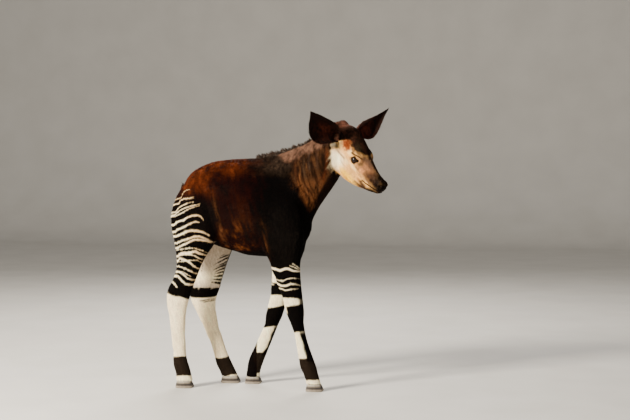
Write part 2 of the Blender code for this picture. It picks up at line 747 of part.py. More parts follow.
def hooves(model):
    for place, (rear, front, y) in HOOVES.items():
        outer = math.copysign(1, y)
        add(f"hoof_{place}_outer", claw_mesh(rear, front, y, -outer), model)
        add(f"hoof_{place}_inner", claw_mesh(rear, front, y, outer), model)


def lock_mesh(root, points_to, bends_to, side, length, width):
    """A flat, tapered lock of hair, wide along side, that bends over towards its tip."""
    along, bend = Vector(points_to).normalized(), Vector(bends_to).normalized()
    side = Vector(side).normalized()
    flat = along.cross(side).normalized()
    rings = []
    for share, keep in LOCK_TAPER:
        centre = root + along * (length * share) + bend * (length * 0.4 * max(share, 0) ** 2)
        half, thick = width * keep / 2, width * keep * 0.2
        across, through = side * half, flat * thick
        rings.append([centre + across, centre + through, centre - across, centre - through])
    return mesh_from_rings(rings)


def fuse_locks(core, locks, helpers):
    """One closed node from a core and its locks."""
    tufts = collection(core.name + "_locks")
    for i, mesh in enumerate(locks):
        add(f"{core.name}_lock_{i}", mesh, tufts)
    join = core.modifiers.new("join", "BOOLEAN")
    join.operation = "UNION"
    join.operand_type = "COLLECTION"
    join.collection = tufts
    join.solver = "EXACT"
    join.use_self = True
    bake(core)
    for obj in list(tufts.objects):
        bpy.data.objects.remove(obj)
    bpy.data.collections.remove(tufts)
    keep_largest(core)


def mane(neighbours, model, helpers):
    """A low ridge of hair down the nape and withers, with short locks that lean back."""
    chance = np.random.default_rng(SEED)
    line = smooth_rows(MANE_LINE, 6)
    core = add("mane", ridge_mesh(line), model)
    locks = []
    for i in range(MANE_LOCKS):
        share = (i + 0.5) / MANE_LOCKS
        place = np.array([np.interp(share * (len(line) - 1), range(len(line)), line[:, k]) for k in (0, 1)])
        tall = MANE_LENGTH * (0.55 + 0.45 * math.sin(math.pi * share**1.6))
        side = (chance.random() - 0.5) * 0.006
        root = Vector((place[0], nape_y(place[0]) + side, place[1] - 0.002))
        up = Vector((-0.55 + 0.3 * chance.random(), side * 30, 1))
        tall *= 0.8 + 0.4 * chance.random()
        locks.append(lock_mesh(root, up, (-1, 0, 0.1), (1, 0.3 * (-1) ** i, 0.3), tall, MANE_LOCK_WIDTH))
    fuse_locks(core, locks, helpers)
    for node in neighbours:
        cut_by(core, swollen(node, helpers))
    keep_largest(core)


def nape_y(x):
    """How far the nape has bent to the calf's right at this x."""
    napes = sorted((row[0], row[4]) for row in NECK)
    return float(np.interp(x, [n[0] for n in napes], [n[1] for n in napes]))


def ridge_mesh(line):
    rings = []
    for i, (x, z) in enumerate(line):
        fade = min(1.0, (i + 1) / 5, (len(line) - i) / 5)
        centre = Vector((x, nape_y(x), z - 0.001))
        side, up = Vector((0, 1, 0)), Vector((-0.35, 0, 1)).normalized()
        rings.append(ring(centre, side, up, 0.0085 * fade, 0.0065 * fade, 0.006, sides=8))
    return mesh_from_rings(rings)


def tail(neighbours, model, helpers):
    """A slim tail that hangs against the rump, with a small tuft."""
    chance = np.random.default_rng(SEED + 1)
    core = add("tail", tube_loft(TAIL_ROUTE), model)
    end = Vector(TAIL_ROUTE[-1][:3])
    locks = []
    for i in range(TUFT_LOCKS):
        turn = 2 * math.pi * (i + chance.random() * 0.5) / TUFT_LOCKS
        out = Vector((math.cos(turn), math.sin(turn), 0))
        rise = TUFT_SPREAD * (i % 3) / 2 + 0.004
        root = end + Vector((0.0, 0.0, rise)) + out * 0.0060
        down = Vector((out.x * 0.13, out.y * 0.13, -1))
        side = (-out.y, out.x, 0)
        tall = TUFT_LENGTH * (0.7 + 0.3 * chance.random())
        locks.append(lock_mesh(root, down, -out * 0.45 + Vector((0, 0, -1)), side, tall, TUFT_LOCK_WIDTH))
    fuse_locks(core, locks, helpers)
    for node in neighbours:
        cut_by(core, swollen(node, helpers))
    keep_largest(core)


def material(name, colour, roughness):
    made = bpy.data.materials.new(name)
    made.use_nodes = True
    shader = made.node_tree.nodes["Principled BSDF"]
    shader.inputs["Base Color"].default_value = (*colour, 1)
    shader.inputs["Roughness"].default_value = roughness
    return made


COATS = {
    "torso": ((0.10, 0.035, 0.020), 0.7),
    "neck": ((0.060, 0.030, 0.020), 0.7),
    "head": ((0.45, 0.38, 0.30), 0.7),
    "ear": ((0.030, 0.018, 0.014), 0.8),
    "eye": ((0.012, 0.009, 0.008), 0.1),
    "mane": ((0.020, 0.014, 0.012), 0.8),
    "tail": ((0.030, 0.018, 0.014), 0.8),
    "upper": ((0.12, 0.10, 0.09), 0.7),
    "lower": ((0.75, 0.70, 0.62), 0.7),
    "hoof": ((0.10, 0.09, 0.08), 0.45),
}


def paint(model):
    """A coat for each kind of node, read from its name."""
    coats = {kind: material(kind, *look) for kind, look in COATS.items()}
    for obj in model.objects:
        words = obj.name.split("_")
        kind = next(k for k in COATS if k in words)
        obj.data.materials.clear()
        obj.data.materials.append(coats[kind])
        obj.data.shade_smooth()
        obj.data.set_sharp_from_angle(angle=math.radians(50))


def stand_on_origin(model):
    """Moves every node so that the origin is on the floor, under the middle of the whole."""
    points = np.array([v.co for obj in model.objects for v in obj.data.vertices])
    low, high = points.min(0), points.max(0)
    shift = Matrix.Translation((-(low[0] + high[0]) / 2, -(low[1] + high[1]) / 2, -low[2]))
    for obj in model.objects:
        obj.data.transform(shift)


def main():
    clear_scene()
    model, helpers = collection("okapi_calf"), collection("helpers")
    body = flesh(helpers)
    cut_head(body, helpers)
    nodes = flesh_nodes(body, model)
    ears(nodes["head"], model, helpers)
    eyes(model)
    hooves(model)
    mane([nodes["torso"], nodes["neck"]], model, helpers)
    tail([nodes["torso"], nodes["hindleg_right_upper"], nodes["hindleg_left_upper"]], model, helpers)
    for helper in list(helpers.objects):
        bpy.data.objects.remove(helper)
    stand_on_origin(model)
    paint(model)


main()
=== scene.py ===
# %% [markdown]
# # Dressing an okapi calf
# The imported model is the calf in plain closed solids: head, neck, trunk, legs, ears, eyes, hooves,
# mane and tail. This script keeps their places and sizes and gives them what a mounted animal
# shows: one skin with no seams, lids and lips, a short glossy coat in fine tufts that lie with the
# hair, the striped haunches and banded legs, wet eyes and grained hooves.

# %% Load the frame
import math
import time

import bmesh
import bpy
import json
import numpy as np
from mathutils import Matrix, Vector, kdtree

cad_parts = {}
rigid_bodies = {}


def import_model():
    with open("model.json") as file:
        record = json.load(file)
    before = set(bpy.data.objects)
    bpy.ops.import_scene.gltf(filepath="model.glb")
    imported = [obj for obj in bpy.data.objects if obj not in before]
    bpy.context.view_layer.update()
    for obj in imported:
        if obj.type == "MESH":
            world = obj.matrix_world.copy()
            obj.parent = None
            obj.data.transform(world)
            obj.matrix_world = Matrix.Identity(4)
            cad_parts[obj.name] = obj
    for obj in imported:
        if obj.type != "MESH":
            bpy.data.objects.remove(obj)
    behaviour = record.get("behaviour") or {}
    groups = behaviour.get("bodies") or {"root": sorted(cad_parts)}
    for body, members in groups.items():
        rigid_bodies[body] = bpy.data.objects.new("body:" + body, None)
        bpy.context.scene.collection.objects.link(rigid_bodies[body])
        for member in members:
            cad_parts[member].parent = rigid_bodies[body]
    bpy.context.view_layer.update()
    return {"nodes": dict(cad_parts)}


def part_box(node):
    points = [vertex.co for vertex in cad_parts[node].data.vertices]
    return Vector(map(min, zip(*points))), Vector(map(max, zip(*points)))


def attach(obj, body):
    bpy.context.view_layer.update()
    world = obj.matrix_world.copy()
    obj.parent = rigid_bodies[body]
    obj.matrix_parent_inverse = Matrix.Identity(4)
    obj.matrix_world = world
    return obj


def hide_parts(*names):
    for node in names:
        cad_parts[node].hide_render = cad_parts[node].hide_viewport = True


for leftover in list(bpy.data.objects):
    bpy.data.objects.remove(leftover)
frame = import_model()
NODES = frame["nodes"]
SEED = 11

# %% [markdown]
# ## The calf's own measures
# Every place on the animal is easier to say from the animal itself. The two eyeballs give the
# head: the line between them is its left, and the muzzle drops 50 degrees below level. From the
# crown of the head the zero of the whole calf follows, on the floor under its withers, with x
# forward, y to its left and z up.

# %% Head and body axes from the eyes
EYE_IN_HEAD = (0.199, 0.0435, -0.037)  # along the face from the crown, to the left, out of the forehead
EYE_RADIUS = 0.0195
MUZZLE_DROP = math.radians(50)
CROWN_PLACE = np.array((0.443, -0.020, 1.241))  # of the crown, from the calf's zero


def middle(name):
    low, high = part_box(name)
    return np.array((low + high) / 2)


def unit(v):
    v = np.asarray(v, float)
    return v / np.linalg.norm(v, axis=-1, keepdims=True).clip(1e-12)


EYES = {hand: middle(name) for hand, name in ((-1, "eye_right"), (1, "eye_left"))}
LEFTWARD = unit(EYES[1] - EYES[-1])
LEVEL = np.array((LEFTWARD[1], -LEFTWARD[0], 0.0))
FACE = LEVEL * math.cos(MUZZLE_DROP) - np.array((0, 0, math.sin(MUZZLE_DROP)))
UPWARD = np.cross(FACE, LEFTWARD)
CROWN = (EYES[1] + EYES[-1]) / 2 - FACE * EYE_IN_HEAD[0] - UPWARD * EYE_IN_HEAD[2]
ZERO = CROWN - CROWN_PLACE
print("the calf's zero stands at", ZERO.round(4), "and its face is turned", LEVEL.round(3))


def head_axes(places):
    """Rows of a, c, b for places: along the face, to the left, out of the forehead."""
    return (np.asarray(places) - CROWN) @ np.column_stack([FACE, LEFTWARD, UPWARD])


def in_head(a, c, b):
    return CROWN + FACE * a + LEFTWARD * c + UPWARD * b


# %% [markdown]
# ## Arithmetic for node trees
# A shader or a geometry tree is a formula drawn as boxes. Here it is written as a formula again: a
# Wire holds one socket, and using it with + - * / adds the Math node that does it. Any other node
# comes from Graph.node, with its settings first and then the values or wires for its sockets.

# %% Wires and graphs
class Wire:
    """One output socket, used in expressions as if it were its number."""

    def __init__(self, graph, socket):
        self.graph, self.socket = graph, socket

    def math(self, operation, *others, swap=False):
        terms = [self, *others]
        if swap:
            terms.reverse()
        return self.graph.node("ShaderNodeMath", {"operation": operation}, dict(enumerate(terms)))

    def __add__(self, other):
        return self.math("ADD", other)

    def __sub__(self, other):
        return self.math("SUBTRACT", other)

    def __mul__(self, other):
        return self.math("MULTIPLY", other)

    def __truediv__(self, other):
        return self.math("DIVIDE", other)

    def __rsub__(self, other):
        return self.math("SUBTRACT", other, swap=True)

    def __rtruediv__(self, other):
        return self.math("DIVIDE", other, swap=True)

    __radd__, __rmul__ = __add__, __mul__

    def output(self, name):
        return Wire(self.graph, self.socket.node.outputs[name])


class Graph:
    """Adds nodes to one tree."""

    def __init__(self, tree):
        self.tree = tree

    def node(self, kind, settings=None, values=None, output=0):
        made = self.tree.nodes.new(kind)
        for name, value in (settings or {}).items():
            if name == "stops":
                self.set_stops(made.color_ramp, value)
            else:
                setattr(made, name, value)
        live = [socket for socket in made.inputs if socket.enabled]
        for key, value in (values or {}).items():
            socket = live[key] if isinstance(key, int) else next(s for s in live if s.name == key)
            if isinstance(value, Wire):
                self.tree.links.new(value.socket, socket)
            else:
                socket.default_value = value
        results = [socket for socket in made.outputs if socket.enabled]
        return Wire(self, results[output]) if results else None

    def set_stops(self, ramp, stops):
        while len(ramp.elements) > 1:
            ramp.elements.remove(ramp.elements[-1])
        for i, (place, shade) in enumerate(stops):
            element = ramp.elements[0] if i == 0 else ramp.elements.new(place)
            element.position = place
            element.color = shade if len(shade) == 4 else (*shade, 1)

    def ramp(self, value, stops, smooth=False):
        settings = {"stops": stops}
        made = self.node("ShaderNodeValToRGB", settings, {0: value})
        made.socket.node.color_ramp.interpolation = "EASE" if smooth else "LINEAR"
        return made

    def step(self, value, low, high):
        """0 below low, 1 above high, smooth between. low may be above high."""
        settings = {"interpolation_type": "SMOOTHSTEP"}
        return self.node("ShaderNodeMapRange", settings, {0: value, 1: low, 2: high})

    def vector(self, operation, *terms):
        return self.node("ShaderNodeVectorMath", {"operation": operation}, dict(enumerate(terms)))

    def mix(self, factor, first, second, blend="MIX"):
        """Mixes two colours."""
        settings = {"data_type": "RGBA", "blend_type": blend}
        return self.node("ShaderNodeMix", settings, {0: factor, 1: first, 2: second})


# %% Small helpers for meshes as arrays
def points_of(mesh):
    flat = np.empty(len(mesh.vertices) * 3, np.float32)
    mesh.vertices.foreach_get("co", flat)
    return flat.reshape(-1, 3).astype(float)


def move_points(mesh, places):
    mesh.vertices.foreach_set("co", np.asarray(places, np.float32).ravel())
    mesh.update()


def normals_of(mesh):
    flat = np.empty(len(mesh.vertices) * 3, np.float32)
    mesh.vertex_normals.foreach_get("vector", flat)
    return flat.reshape(-1, 3).astype(float)


def write(mesh, name, values, kind="FLOAT", domain="POINT"):
    """Keeps one value for each point, or each face, as an attribute."""
    key = {"FLOAT": "value", "INT": "value", "FLOAT_VECTOR": "vector"}[kind]
    held = mesh.attributes.get(name) or mesh.attributes.new(name, kind, domain)
    dtype = np.int32 if kind == "INT" else np.float32
    held.data.foreach_set(key, np.ascontiguousarray(values, dtype).ravel())


def read(mesh, name, width=3):
    flat = np.empty(len(mesh.attributes[name].data) * width, np.float32)
    mesh.attributes[name].data.foreach_get("vector" if width == 3 else "value", flat)
    return flat.reshape(-1, width) if width > 1 else flat


def add(name, mesh):
    made = bpy.data.objects.new(name, mesh)
    bpy.context.scene.collection.objects.link(made)
    return made


def bake(obj):
    """The object's mesh as its modifiers leave it, with the modifiers gone."""
    graph = bpy.context.evaluated_depsgraph_get()
    made = bpy.data.meshes.new_from_object(obj.evaluated_get(graph))
    obj.modifiers.clear()
    old, obj.data = obj.data, made
    bpy.data.meshes.remove(old)
    return obj


def ease(x, low, high):
    """0 at low and before, 1 at high and beyond, smooth between."""
    t = np.clip((np.asarray(x, float) - low) / (high - low), 0, 1)
    return t * t * (3 - 2 * t)


# %% [markdown]
# ## One skin
# The solids of the flesh meet with hairline gaps. Swollen by a little over a millimetre they
# overlap, and a voxel remesh of the joined meshes gives a single closed surface: it closes the
# gaps, the mouth's slot and the sockets, which are modelled again below, finer. A slim core from the
# tail's own middle line goes in too. The trunk and legs keep fewer faces than the head and ears.

# %% Join and remesh
SWELL = 0.0012
SKIN_VOXEL = 0.0024
TAIL_CORE = 0.0065  # half thickness of the tail under its hair
FLESH = sorted(n for n in NODES if not n.startswith(("hoof", "mane", "tail", "eye")))


def merged_copy(name):
    """A copy of a node's loose triangles with its points merged."""
    bm = bmesh.new()
    bm.from_mesh(NODES[name].data)
    bmesh.ops.remove_doubles(bm, verts=bm.verts, dist=1e-6)
    bm.normal_update()
    return bm


def middle_line(places, axis, steps):
    """The middle and half breadth of a long thin thing in slices along an axis."""
    levels = np.linspace(places[:, axis].min(), places[:, axis].max(), steps + 1)
    rows = []
    for low, high in zip(levels, levels[1:]):
        inside = places[(places[:, axis] >= low - 0.004) & (places[:, axis] <= high + 0.004)]
        rows.append((inside.min(0) + inside.max(0)) / 2)
    return np.array(rows)


def tube(route, radii, sides=12):
    """A closed round tube through places."""
    bm = bmesh.new()
    rings = []
    for i, (place, radius) in enumerate(zip(route, radii)):
        ahead = unit(route[min(i + 1, len(route) - 1)] - route[max(i - 1, 0)])
        side = unit(np.cross(ahead, (0.0, 1.0, 0.05)))
        up = np.cross(ahead, side)
        turns = [2 * math.pi * k / sides for k in range(sides)]
        rings.append([bm.verts.new(place + (side * math.cos(t) + up * math.sin(t)) * radius) for t in turns])
    for low, high in zip(rings, rings[1:]):
        for k in range(sides):
            bm.faces.new((low[k], low[(k + 1) % sides], high[(k + 1) % sides], high[k]))
    bm.faces.new(rings[0])
    bm.faces.new(rings[-1])
    bmesh.ops.recalc_face_normals(bm, faces=bm.faces)
    return bm


def joined_flesh():
    whole = bmesh.new()
    for name in [*FLESH, "eye_left", "eye_right"]:
        bm = merged_copy(name)
        for vertex in bm.verts:
            vertex.co += vertex.normal * SWELL
        part = bpy.data.meshes.new(name)
        bm.to_mesh(part)
        whole.from_mesh(part)
        bpy.data.meshes.remove(part)
    core = bpy.data.meshes.new("tail")
    tube(TAIL_LINE, np.interp(np.arange(len(TAIL_LINE)), (0, 3, 11), (0.016, 0.010, TAIL_CORE))).to_mesh(core)
    whole.from_mesh(core)
    mesh = bpy.data.meshes.new("skin")
    whole.to_mesh(mesh)
    return mesh


TAIL_LINE = middle_line(points_of(NODES["tail"].data), 2, 12)[::-1]
MANE_LINE = middle_line(points_of(NODES["mane"].data), 0, 24)
skin = add("skin", joined_flesh())
remesh = skin.modifiers.new("one surface", "REMESH")
remesh.mode = "VOXEL"
remesh.voxel_size = SKIN_VOXEL
bake(skin)
print("one surface:", len(skin.data.polygons), "faces; tail", TAIL_LINE[0].round(3), TAIL_LINE[-1].round(3))


# %% [markdown]
# The remeshed surface keeps faint steps where solids met, so it is relaxed a little. Then three
# quarters of the faces are spent where they are seen: the eyes, lips and nostrils keep the fine
# quads, the rest of the head and the ears come next, and the broad body is the plainest.

# %% Relax, and spend the faces where they show
SKIN_FACES = 84000
FINE_SPOTS = [(EYE_IN_HEAD[0], 0.050, -0.037, 0.036), (0.345, 0.030, -0.055, 0.046), (0.372, 0.024, -0.018, 0.026)]


def neighbours(mesh):
    flat = np.empty(len(mesh.edges) * 2, np.int32)
    mesh.edges.foreach_get("vertices", flat)
    return flat.reshape(-1, 2)


def relaxed(values, edges, rounds, share=0.5, weight=1.0):
    """Averages values with those of their neighbours, weight of the way where it is an array."""
    values = np.array(values, float)
    flat = values.reshape(len(values), -1)
    near = np.bincount(edges.ravel(), minlength=len(values)).clip(1)[:, None]
    pull = share * np.broadcast_to(np.asarray(weight, float), len(values))[:, None]
    for _ in range(rounds):
        total = np.column_stack([
            np.bincount(edges[:, 0], column[edges[:, 1]], len(values))
            + np.bincount(edges[:, 1], column[edges[:, 0]], len(values))
            for column in flat.T
        ])
        flat += pull * (total / near - flat)
    return flat.reshape(values.shape)


def fine_spot(places):
    """1 round the eyes, lips and nostrils, fading to 0."""
    h = head_axes(places)
    best = np.zeros(len(h))
    for a, c, b, reach in FINE_SPOTS:
        away = np.linalg.norm(np.column_stack([h[:, 0], abs(h[:, 1]), h[:, 2]]) - (a, c, b), axis=1)
        best = np.maximum(best, 1 - ease(away, reach * 0.8, reach * 1.3))
    return best


def triangles(obj):
    return sum(len(p.vertices) - 2 for p in obj.data.polygons)


def thin(obj, weights, faces):
    """Decimates to a number of triangles, least where the weights are 0."""
    group = obj.vertex_groups.new(name="thin")
    levels = (np.asarray(weights) * 8).round().astype(int)
    for level in range(1, 9):
        group.add(np.nonzero(levels == level)[0].tolist(), level / 8, "REPLACE")
    mesh = obj.data
    now = sum(len(p.vertices) - 2 for p in mesh.polygons)
    modifier = obj.modifiers.new("thin", "DECIMATE")
    modifier.ratio = faces / now
    modifier.vertex_group = "thin"
    modifier.vertex_group_factor = 0.6
    bake(obj)
    obj.vertex_groups.clear()


edges = neighbours(skin.data)
move_points(skin.data, relaxed(points_of(skin.data), edges, 6))
places = points_of(skin.data)
head_side = ease((places - ZERO) @ (0.62, 0, 0.78), 1.10, 1.16)
thin(skin, 1 - fine_spot(places) * 0.999, 330000)
places = points_of(skin.data)
head_side = ease((places - ZERO) @ (0.62, 0, 0.78), 1.10, 1.16)
thin(skin, 1 - np.maximum(head_side * 0.75, fine_spot(places) * 0.999), SKIN_FACES)
print("skin:", triangles(skin), "triangles")

# %% [markdown]
# Each point of the skin is told which solid it came from. That gives the regions of the coat, and
# how deep the hair is there: the skin is drawn in by that much, so that the tips of the coat, and
# not the hide, stand on the surface that the solids have.

# %% Regions and depth of coat
REGIONS = ["head", "ear_left", "ear_right", "neck", "torso", "tail"]
LEGS = ["foreleg_right", "foreleg_left", "hindleg_right", "hindleg_left"]
REGIONS += LEGS
COAT_DEPTH = {"head": 0.0012, "ear": 0.0006, "neck": 0.0032, "torso": 0.0036, "tail": 0.001, "fore": 0.002, "hind": 0.002}


def triangles_of(name):
    mesh = NODES[name].data
    flat = np.empty(len(mesh.loops), np.int32)
    mesh.loops.foreach_get("vertex_index", flat)
    return points_of(mesh), flat.reshape(-1, 3)


def region_finder():
    from mathutils.bvhtree import BVHTree
    corners, faces, owners, start = [], [], [], 0
    for name in [*FLESH, "tail"]:
        spots, tris = triangles_of(name)
        corners.append(spots)
        faces.append(tris + start)
        start += len(spots)
        owners += [next(i for i, r in enumerate(REGIONS) if name.startswith(r))] * len(tris)
    tree = BVHTree.FromPolygons(np.vstack(corners).tolist(), np.vstack(faces).tolist())
    return lambda places: np.array([owners[tree.find_nearest(p)[2]] for p in places.tolist()])


find_region = region_finder()
places = points_of(skin.data)
edges = neighbours(skin.data)
region = find_region(places)
depth = np.array([next(d for key, d in COAT_DEPTH.items() if REGIONS[r].startswith(key)) for r in region])
depth = relaxed(depth, edges, 12)
move_points(skin.data, places - normals_of(skin.data) * (SWELL + depth)[:, None])
print("regions:", {name: int((region == i).sum()) for i, name in enumerate(REGIONS)})

# %% [markdown]
# ## Lids, lips and nostrils
# A calf's eye is a smooth ball in an almond opening: the lids are a firm rim about a millimetre
# thick that lies on the ball, with a crease above. Here the skin inside the opening is drawn back
# into the ball, its edge is laid just over the ball, and from there it eases out to the cheek. The
# mouth is a groove between two soft rolls, and the nostrils are slits drawn inwards.

# %% Sculpt the face
BAND_SPANS = np.array([(0.008, 0.062), (0.114, 0.161), (0.262, 0.282), (0.366, 0.436)])
STRIPE_DETAIL = (0.0062, 0.0100, 0.0090)  # longest edges under the stripes of forearm and haunch, and at bands
LID_HALF = (0.0146, 0.0108)
LID_SLANT = math.radians(35)
MOUTH = ((0.285, -0.0765), (0.315, -0.0675), (0.345, -0.0565), (0.372, -0.0470), (0.394, -0.0385), (0.44, -0.034))
NOSTRIL = (0.372, 0.026, -0.018)


def refine(obj, wanted):
    """Divides the faces where wanted, once."""
    bm = bmesh.new()
    bm.from_mesh(obj.data)
    keep = set(np.nonzero(wanted)[0].tolist())
    edges = [e for e in bm.edges if e.verts[0].index in keep and e.verts[1].index in keep]
    bmesh.ops.subdivide_edges(bm, edges=edges, cuts=1, use_grid_fill=True, smooth=0.0)
    bmesh.ops.triangulate(bm, faces=[f for f in bm.faces if len(f.verts) > 4])
    bm.to_mesh(obj.data)
    bm.free()


def split_long(obj, zone, longest):
    """Halves the edges that are longer than a length and lie in a zone."""
    bm = bmesh.new()
    bm.from_mesh(obj.data)
    edges = list(bm.edges)
    one, two = (np.array([e.verts[k].co for e in edges]) - ZERO for k in (0, 1))
    low, high = np.minimum(one, two)[:, 2], np.maximum(one, two)[:, 2]
    wanted = (np.linalg.norm(one - two, axis=1) > longest) & zone((one[:, 0] + two[:, 0]) / 2, low, high)
    bmesh.ops.subdivide_edges(bm, edges=[e for e, hit in zip(edges, wanted) if hit], cuts=1)
    bmesh.ops.triangulate(bm, faces=[f for f in bm.faces if len(f.verts) > 3])
    bm.to_mesh(obj.data)
    bm.free()


def under_forearm(x, low, high):
    return (x > 0.05) & (high > 0.462) & (low < 0.60)


def under_haunch(x, low, high):
    return (x < np.where(low + high < 1.32, 0.02, -0.14)) & (high > 0.46) & (low < 0.925)


def at_bands(x, low, high):
    return ((high[:, None] > BAND_SPANS[:, 0]) & (low[:, None] < BAND_SPANS[:, 1])).any(1)


def line_distance(points, route):
    """How far each point of a plane is from a line of points, and how far along that line."""
    best = np.full(len(points), 9.0)
    along = np.zeros(len(points))
    route = np.asarray(route, float)
    run = np.concatenate([[0], np.cumsum(np.linalg.norm(np.diff(route, axis=0), axis=1))])
    for i in range(len(route) - 1):
        step = route[i + 1] - route[i]
        share = np.clip((points - route[i]) @ step / (step @ step), 0, 1)
        away = np.linalg.norm(points - route[i] - share[:, None] * step, axis=1)
        closer = away < best
        best[closer] = away[closer]
        along[closer] = (run[i] + share * math.sqrt(step @ step))[closer]
    return best, along / run[-1]


def lid_frame(h, hand):
    """Places by the eye's opening: along it, across it, and round it as a share of its size."""
    away = h - (EYE_IN_HEAD[0], hand * EYE_IN_HEAD[1], EYE_IN_HEAD[2])
    along = away[:, 0] * math.cos(LID_SLANT) + away[:, 2] * math.sin(LID_SLANT)
    across = away[:, 2] * math.cos(LID_SLANT) - away[:, 0] * math.sin(LID_SLANT)
    taper = LID_HALF[1] * (1.04 - 0.45 * np.clip(abs(along) / LID_HALF[0], 0, 1) ** 2)
    ring = np.sqrt((along / LID_HALF[0]) ** 2 + (across / taper) ** 2)
    return along, across, ring, away[:, 1] * hand


def sculpt_lids(places):
    h = head_axes(places)
    for hand in (-1, 1):
        along, across, ring, out = lid_frame(h, hand)
        ball = np.sqrt(np.clip(EYE_RADIUS**2 - along**2 - across**2, 0, None))
        by_eye = (ring < 3.0) & (out > 0.002)
        upper = ease(across, -0.002, 0.006)
        rim = ball + 0.0009 + 0.0007 * upper
        sunk = ball - 0.0045
        lid = sunk + (rim - sunk) * ease(ring, 0.92, 1.04)
        share = (1 - ease(ring, 1.15, 2.3)) * by_eye
        crease = 0.0013 * np.exp(-(((ring - 1.62) / 0.13) ** 2)) * upper * by_eye
        roll = 0.0006 * np.exp(-(((ring - 1.25) / 0.16) ** 2)) * by_eye
        h[:, 1] += hand * (share * (lid - out) - crease + roll)
    return CROWN + h @ np.array([FACE, LEFTWARD, UPWARD])


def sculpt_chin(places):
    """A deeper jaw and a fuller lower lip and chin, below the mouth's line."""
    h = head_axes(places)
    below = np.interp(h[:, 0], (0.10, *np.transpose(MOUTH)[0]), (-0.088, *np.transpose(MOUTH)[1])) - h[:, 2]
    jaw = 0.0090 * ease(h[:, 0], 0.165, 0.215) * (1 - ease(h[:, 0], 0.290, 0.345)) * ease(below, 0.008, 0.036)
    chin = 0.0062 * ease(h[:, 0], 0.275, 0.320) * (1 - ease(h[:, 0], 0.372, 0.395)) * ease(below, 0.004, 0.020)
    return places - np.outer(np.maximum(jaw, chin) * (h[:, 0] < 0.42), UPWARD)


def sculpt_mouth(places, normals):
    h = head_axes(places)
    on_head = (h[:, 0] > 0.27) & (h[:, 0] < 0.42)
    away, along = line_distance(h[:, [0, 2]], MOUTH)
    fade = ease(along, 0.0, 0.10) * on_head
    groove = 0.0024 * np.exp(-((away / 0.0019) ** 2)) - 0.0008 * np.exp(-(((away - 0.0052) / 0.0026) ** 2))
    inner = np.column_stack([h[:, 0], abs(h[:, 1]), h[:, 2]]) - NOSTRIL
    slit = (inner[:, 0] * 0.85 + inner[:, 2] * 0.5) / 0.0115, (inner[:, 2] * 0.85 - inner[:, 0] * 0.5) / 0.0058
    hole = 0.0022 * np.exp(-(slit[0] ** 2 + slit[1] ** 2) * 1.4) * on_head
    wing = 0.0009 * np.exp(-((np.hypot(*slit) - 1.7) / 0.4) ** 2) * on_head
    return places - normals * (groove * fade + hole - wing)[:, None]


for _ in range(3):
    for zone, longest in zip((under_forearm, under_haunch, at_bands), STRIPE_DETAIL):
        split_long(skin, zone, longest)
refine(skin, fine_spot(points_of(skin.data)) > 0.5)
edges = neighbours(skin.data)
places = points_of(skin.data)
soft = fine_spot(places)
places = relaxed(places, edges, 4, weight=soft)
move_points(skin.data, places)
move_points(skin.data, sculpt_chin(places))
move_points(skin.data, sculpt_mouth(points_of(skin.data), normals_of(skin.data)))
move_points(skin.data, sculpt_lids(points_of(skin.data)))
print("skin with its fine face and stripes:", triangles(skin), "triangles")

# %% [markdown]
# ## The lie of the hair
# On a hoofed animal the hair starts at the muzzle and runs up the face, down the neck, back along
# the trunk and down the legs. Each region is given its direction, the directions are averaged over
# their borders, and what is left is a smooth field that both the coat and its colours follow.

# %% Directions of the hair
def calf(places):
    return np.asarray(places) - ZERO


def lie_of(places, normals, region):
    p = calf(places)
    h = head_axes(places)
    lie = np.zeros_like(p)
    trunk = np.column_stack([
        -np.ones(len(p)),
        0.10 * np.sign(p[:, 1]),
        -0.55 * ease(1.02 - p[:, 2], 0, 0.22) - 1.3 * ease(-p[:, 0], 0.10, 0.28) * ease(0.98 - p[:, 2], 0, 0.12)
        - 1.6 * ease(p[:, 0], 0.10, 0.24) * ease(1.0 - p[:, 2], 0, 0.2),
    ])
    lie[:] = trunk
    at = REGIONS.index
    lie[region == at("neck")] = (-0.62, 0, -0.78)
    face = -FACE - UPWARD * 0.55 * ease(-h[:, [2]], 0.03, 0.10) + LEFTWARD * 0.35 * np.sign(h[:, [1]])
    lie[region == at("head")] = face[region == at("head")]
    for leg in LEGS:
        lie[region == at(leg)] = (-0.12, 0, -1)
    lie[region == at("tail")] = (-0.05, 0.03, -1)
    for name, tip in EAR_TIPS.items():
        root = (EAR_ROOTS[name])
        lie[region == at(name)] = unit(tip - root)
    return lie


NECK_FURROWS = [
    ((0.262, 1.050), (0.262, 1.000), (0.276, 0.955), (0.300, 0.915), (0.316, 0.880)),
    ((0.285, 1.040), (0.286, 0.990), (0.300, 0.945), (0.322, 0.905)),
    ((0.240, 1.040), (0.243, 0.990), (0.256, 0.950), (0.272, 0.915)),
    ((0.318, 1.030), (0.320, 0.985), (0.334, 0.950), (0.350, 0.925)),
]


def ear_ends(name):
    """The root and tip of an ear: its points nearest to and farthest from the skull's middle."""
    spots = points_of(NODES[name].data)
    away = np.linalg.norm(spots - in_head(0.06, 0.0, -0.06), axis=1)
    return spots[away < np.sort(away)[12]].mean(0), spots[away.argmax()]


EAR_ROOTS, EAR_TIPS, EAR_BREADTHS = {}, {}, {}
for name in ("ear_left", "ear_right"):
    EAR_ROOTS[name], EAR_TIPS[name] = ear_ends(name)
    spots = points_of(NODES[name].data)
    way = unit(EAR_TIPS[name] - EAR_ROOTS[name])
    flat = spots - spots.mean(0) - np.outer((spots - spots.mean(0)) @ way, way)
    EAR_BREADTHS[name] = np.linalg.svd(flat, full_matrices=False)[2][0]


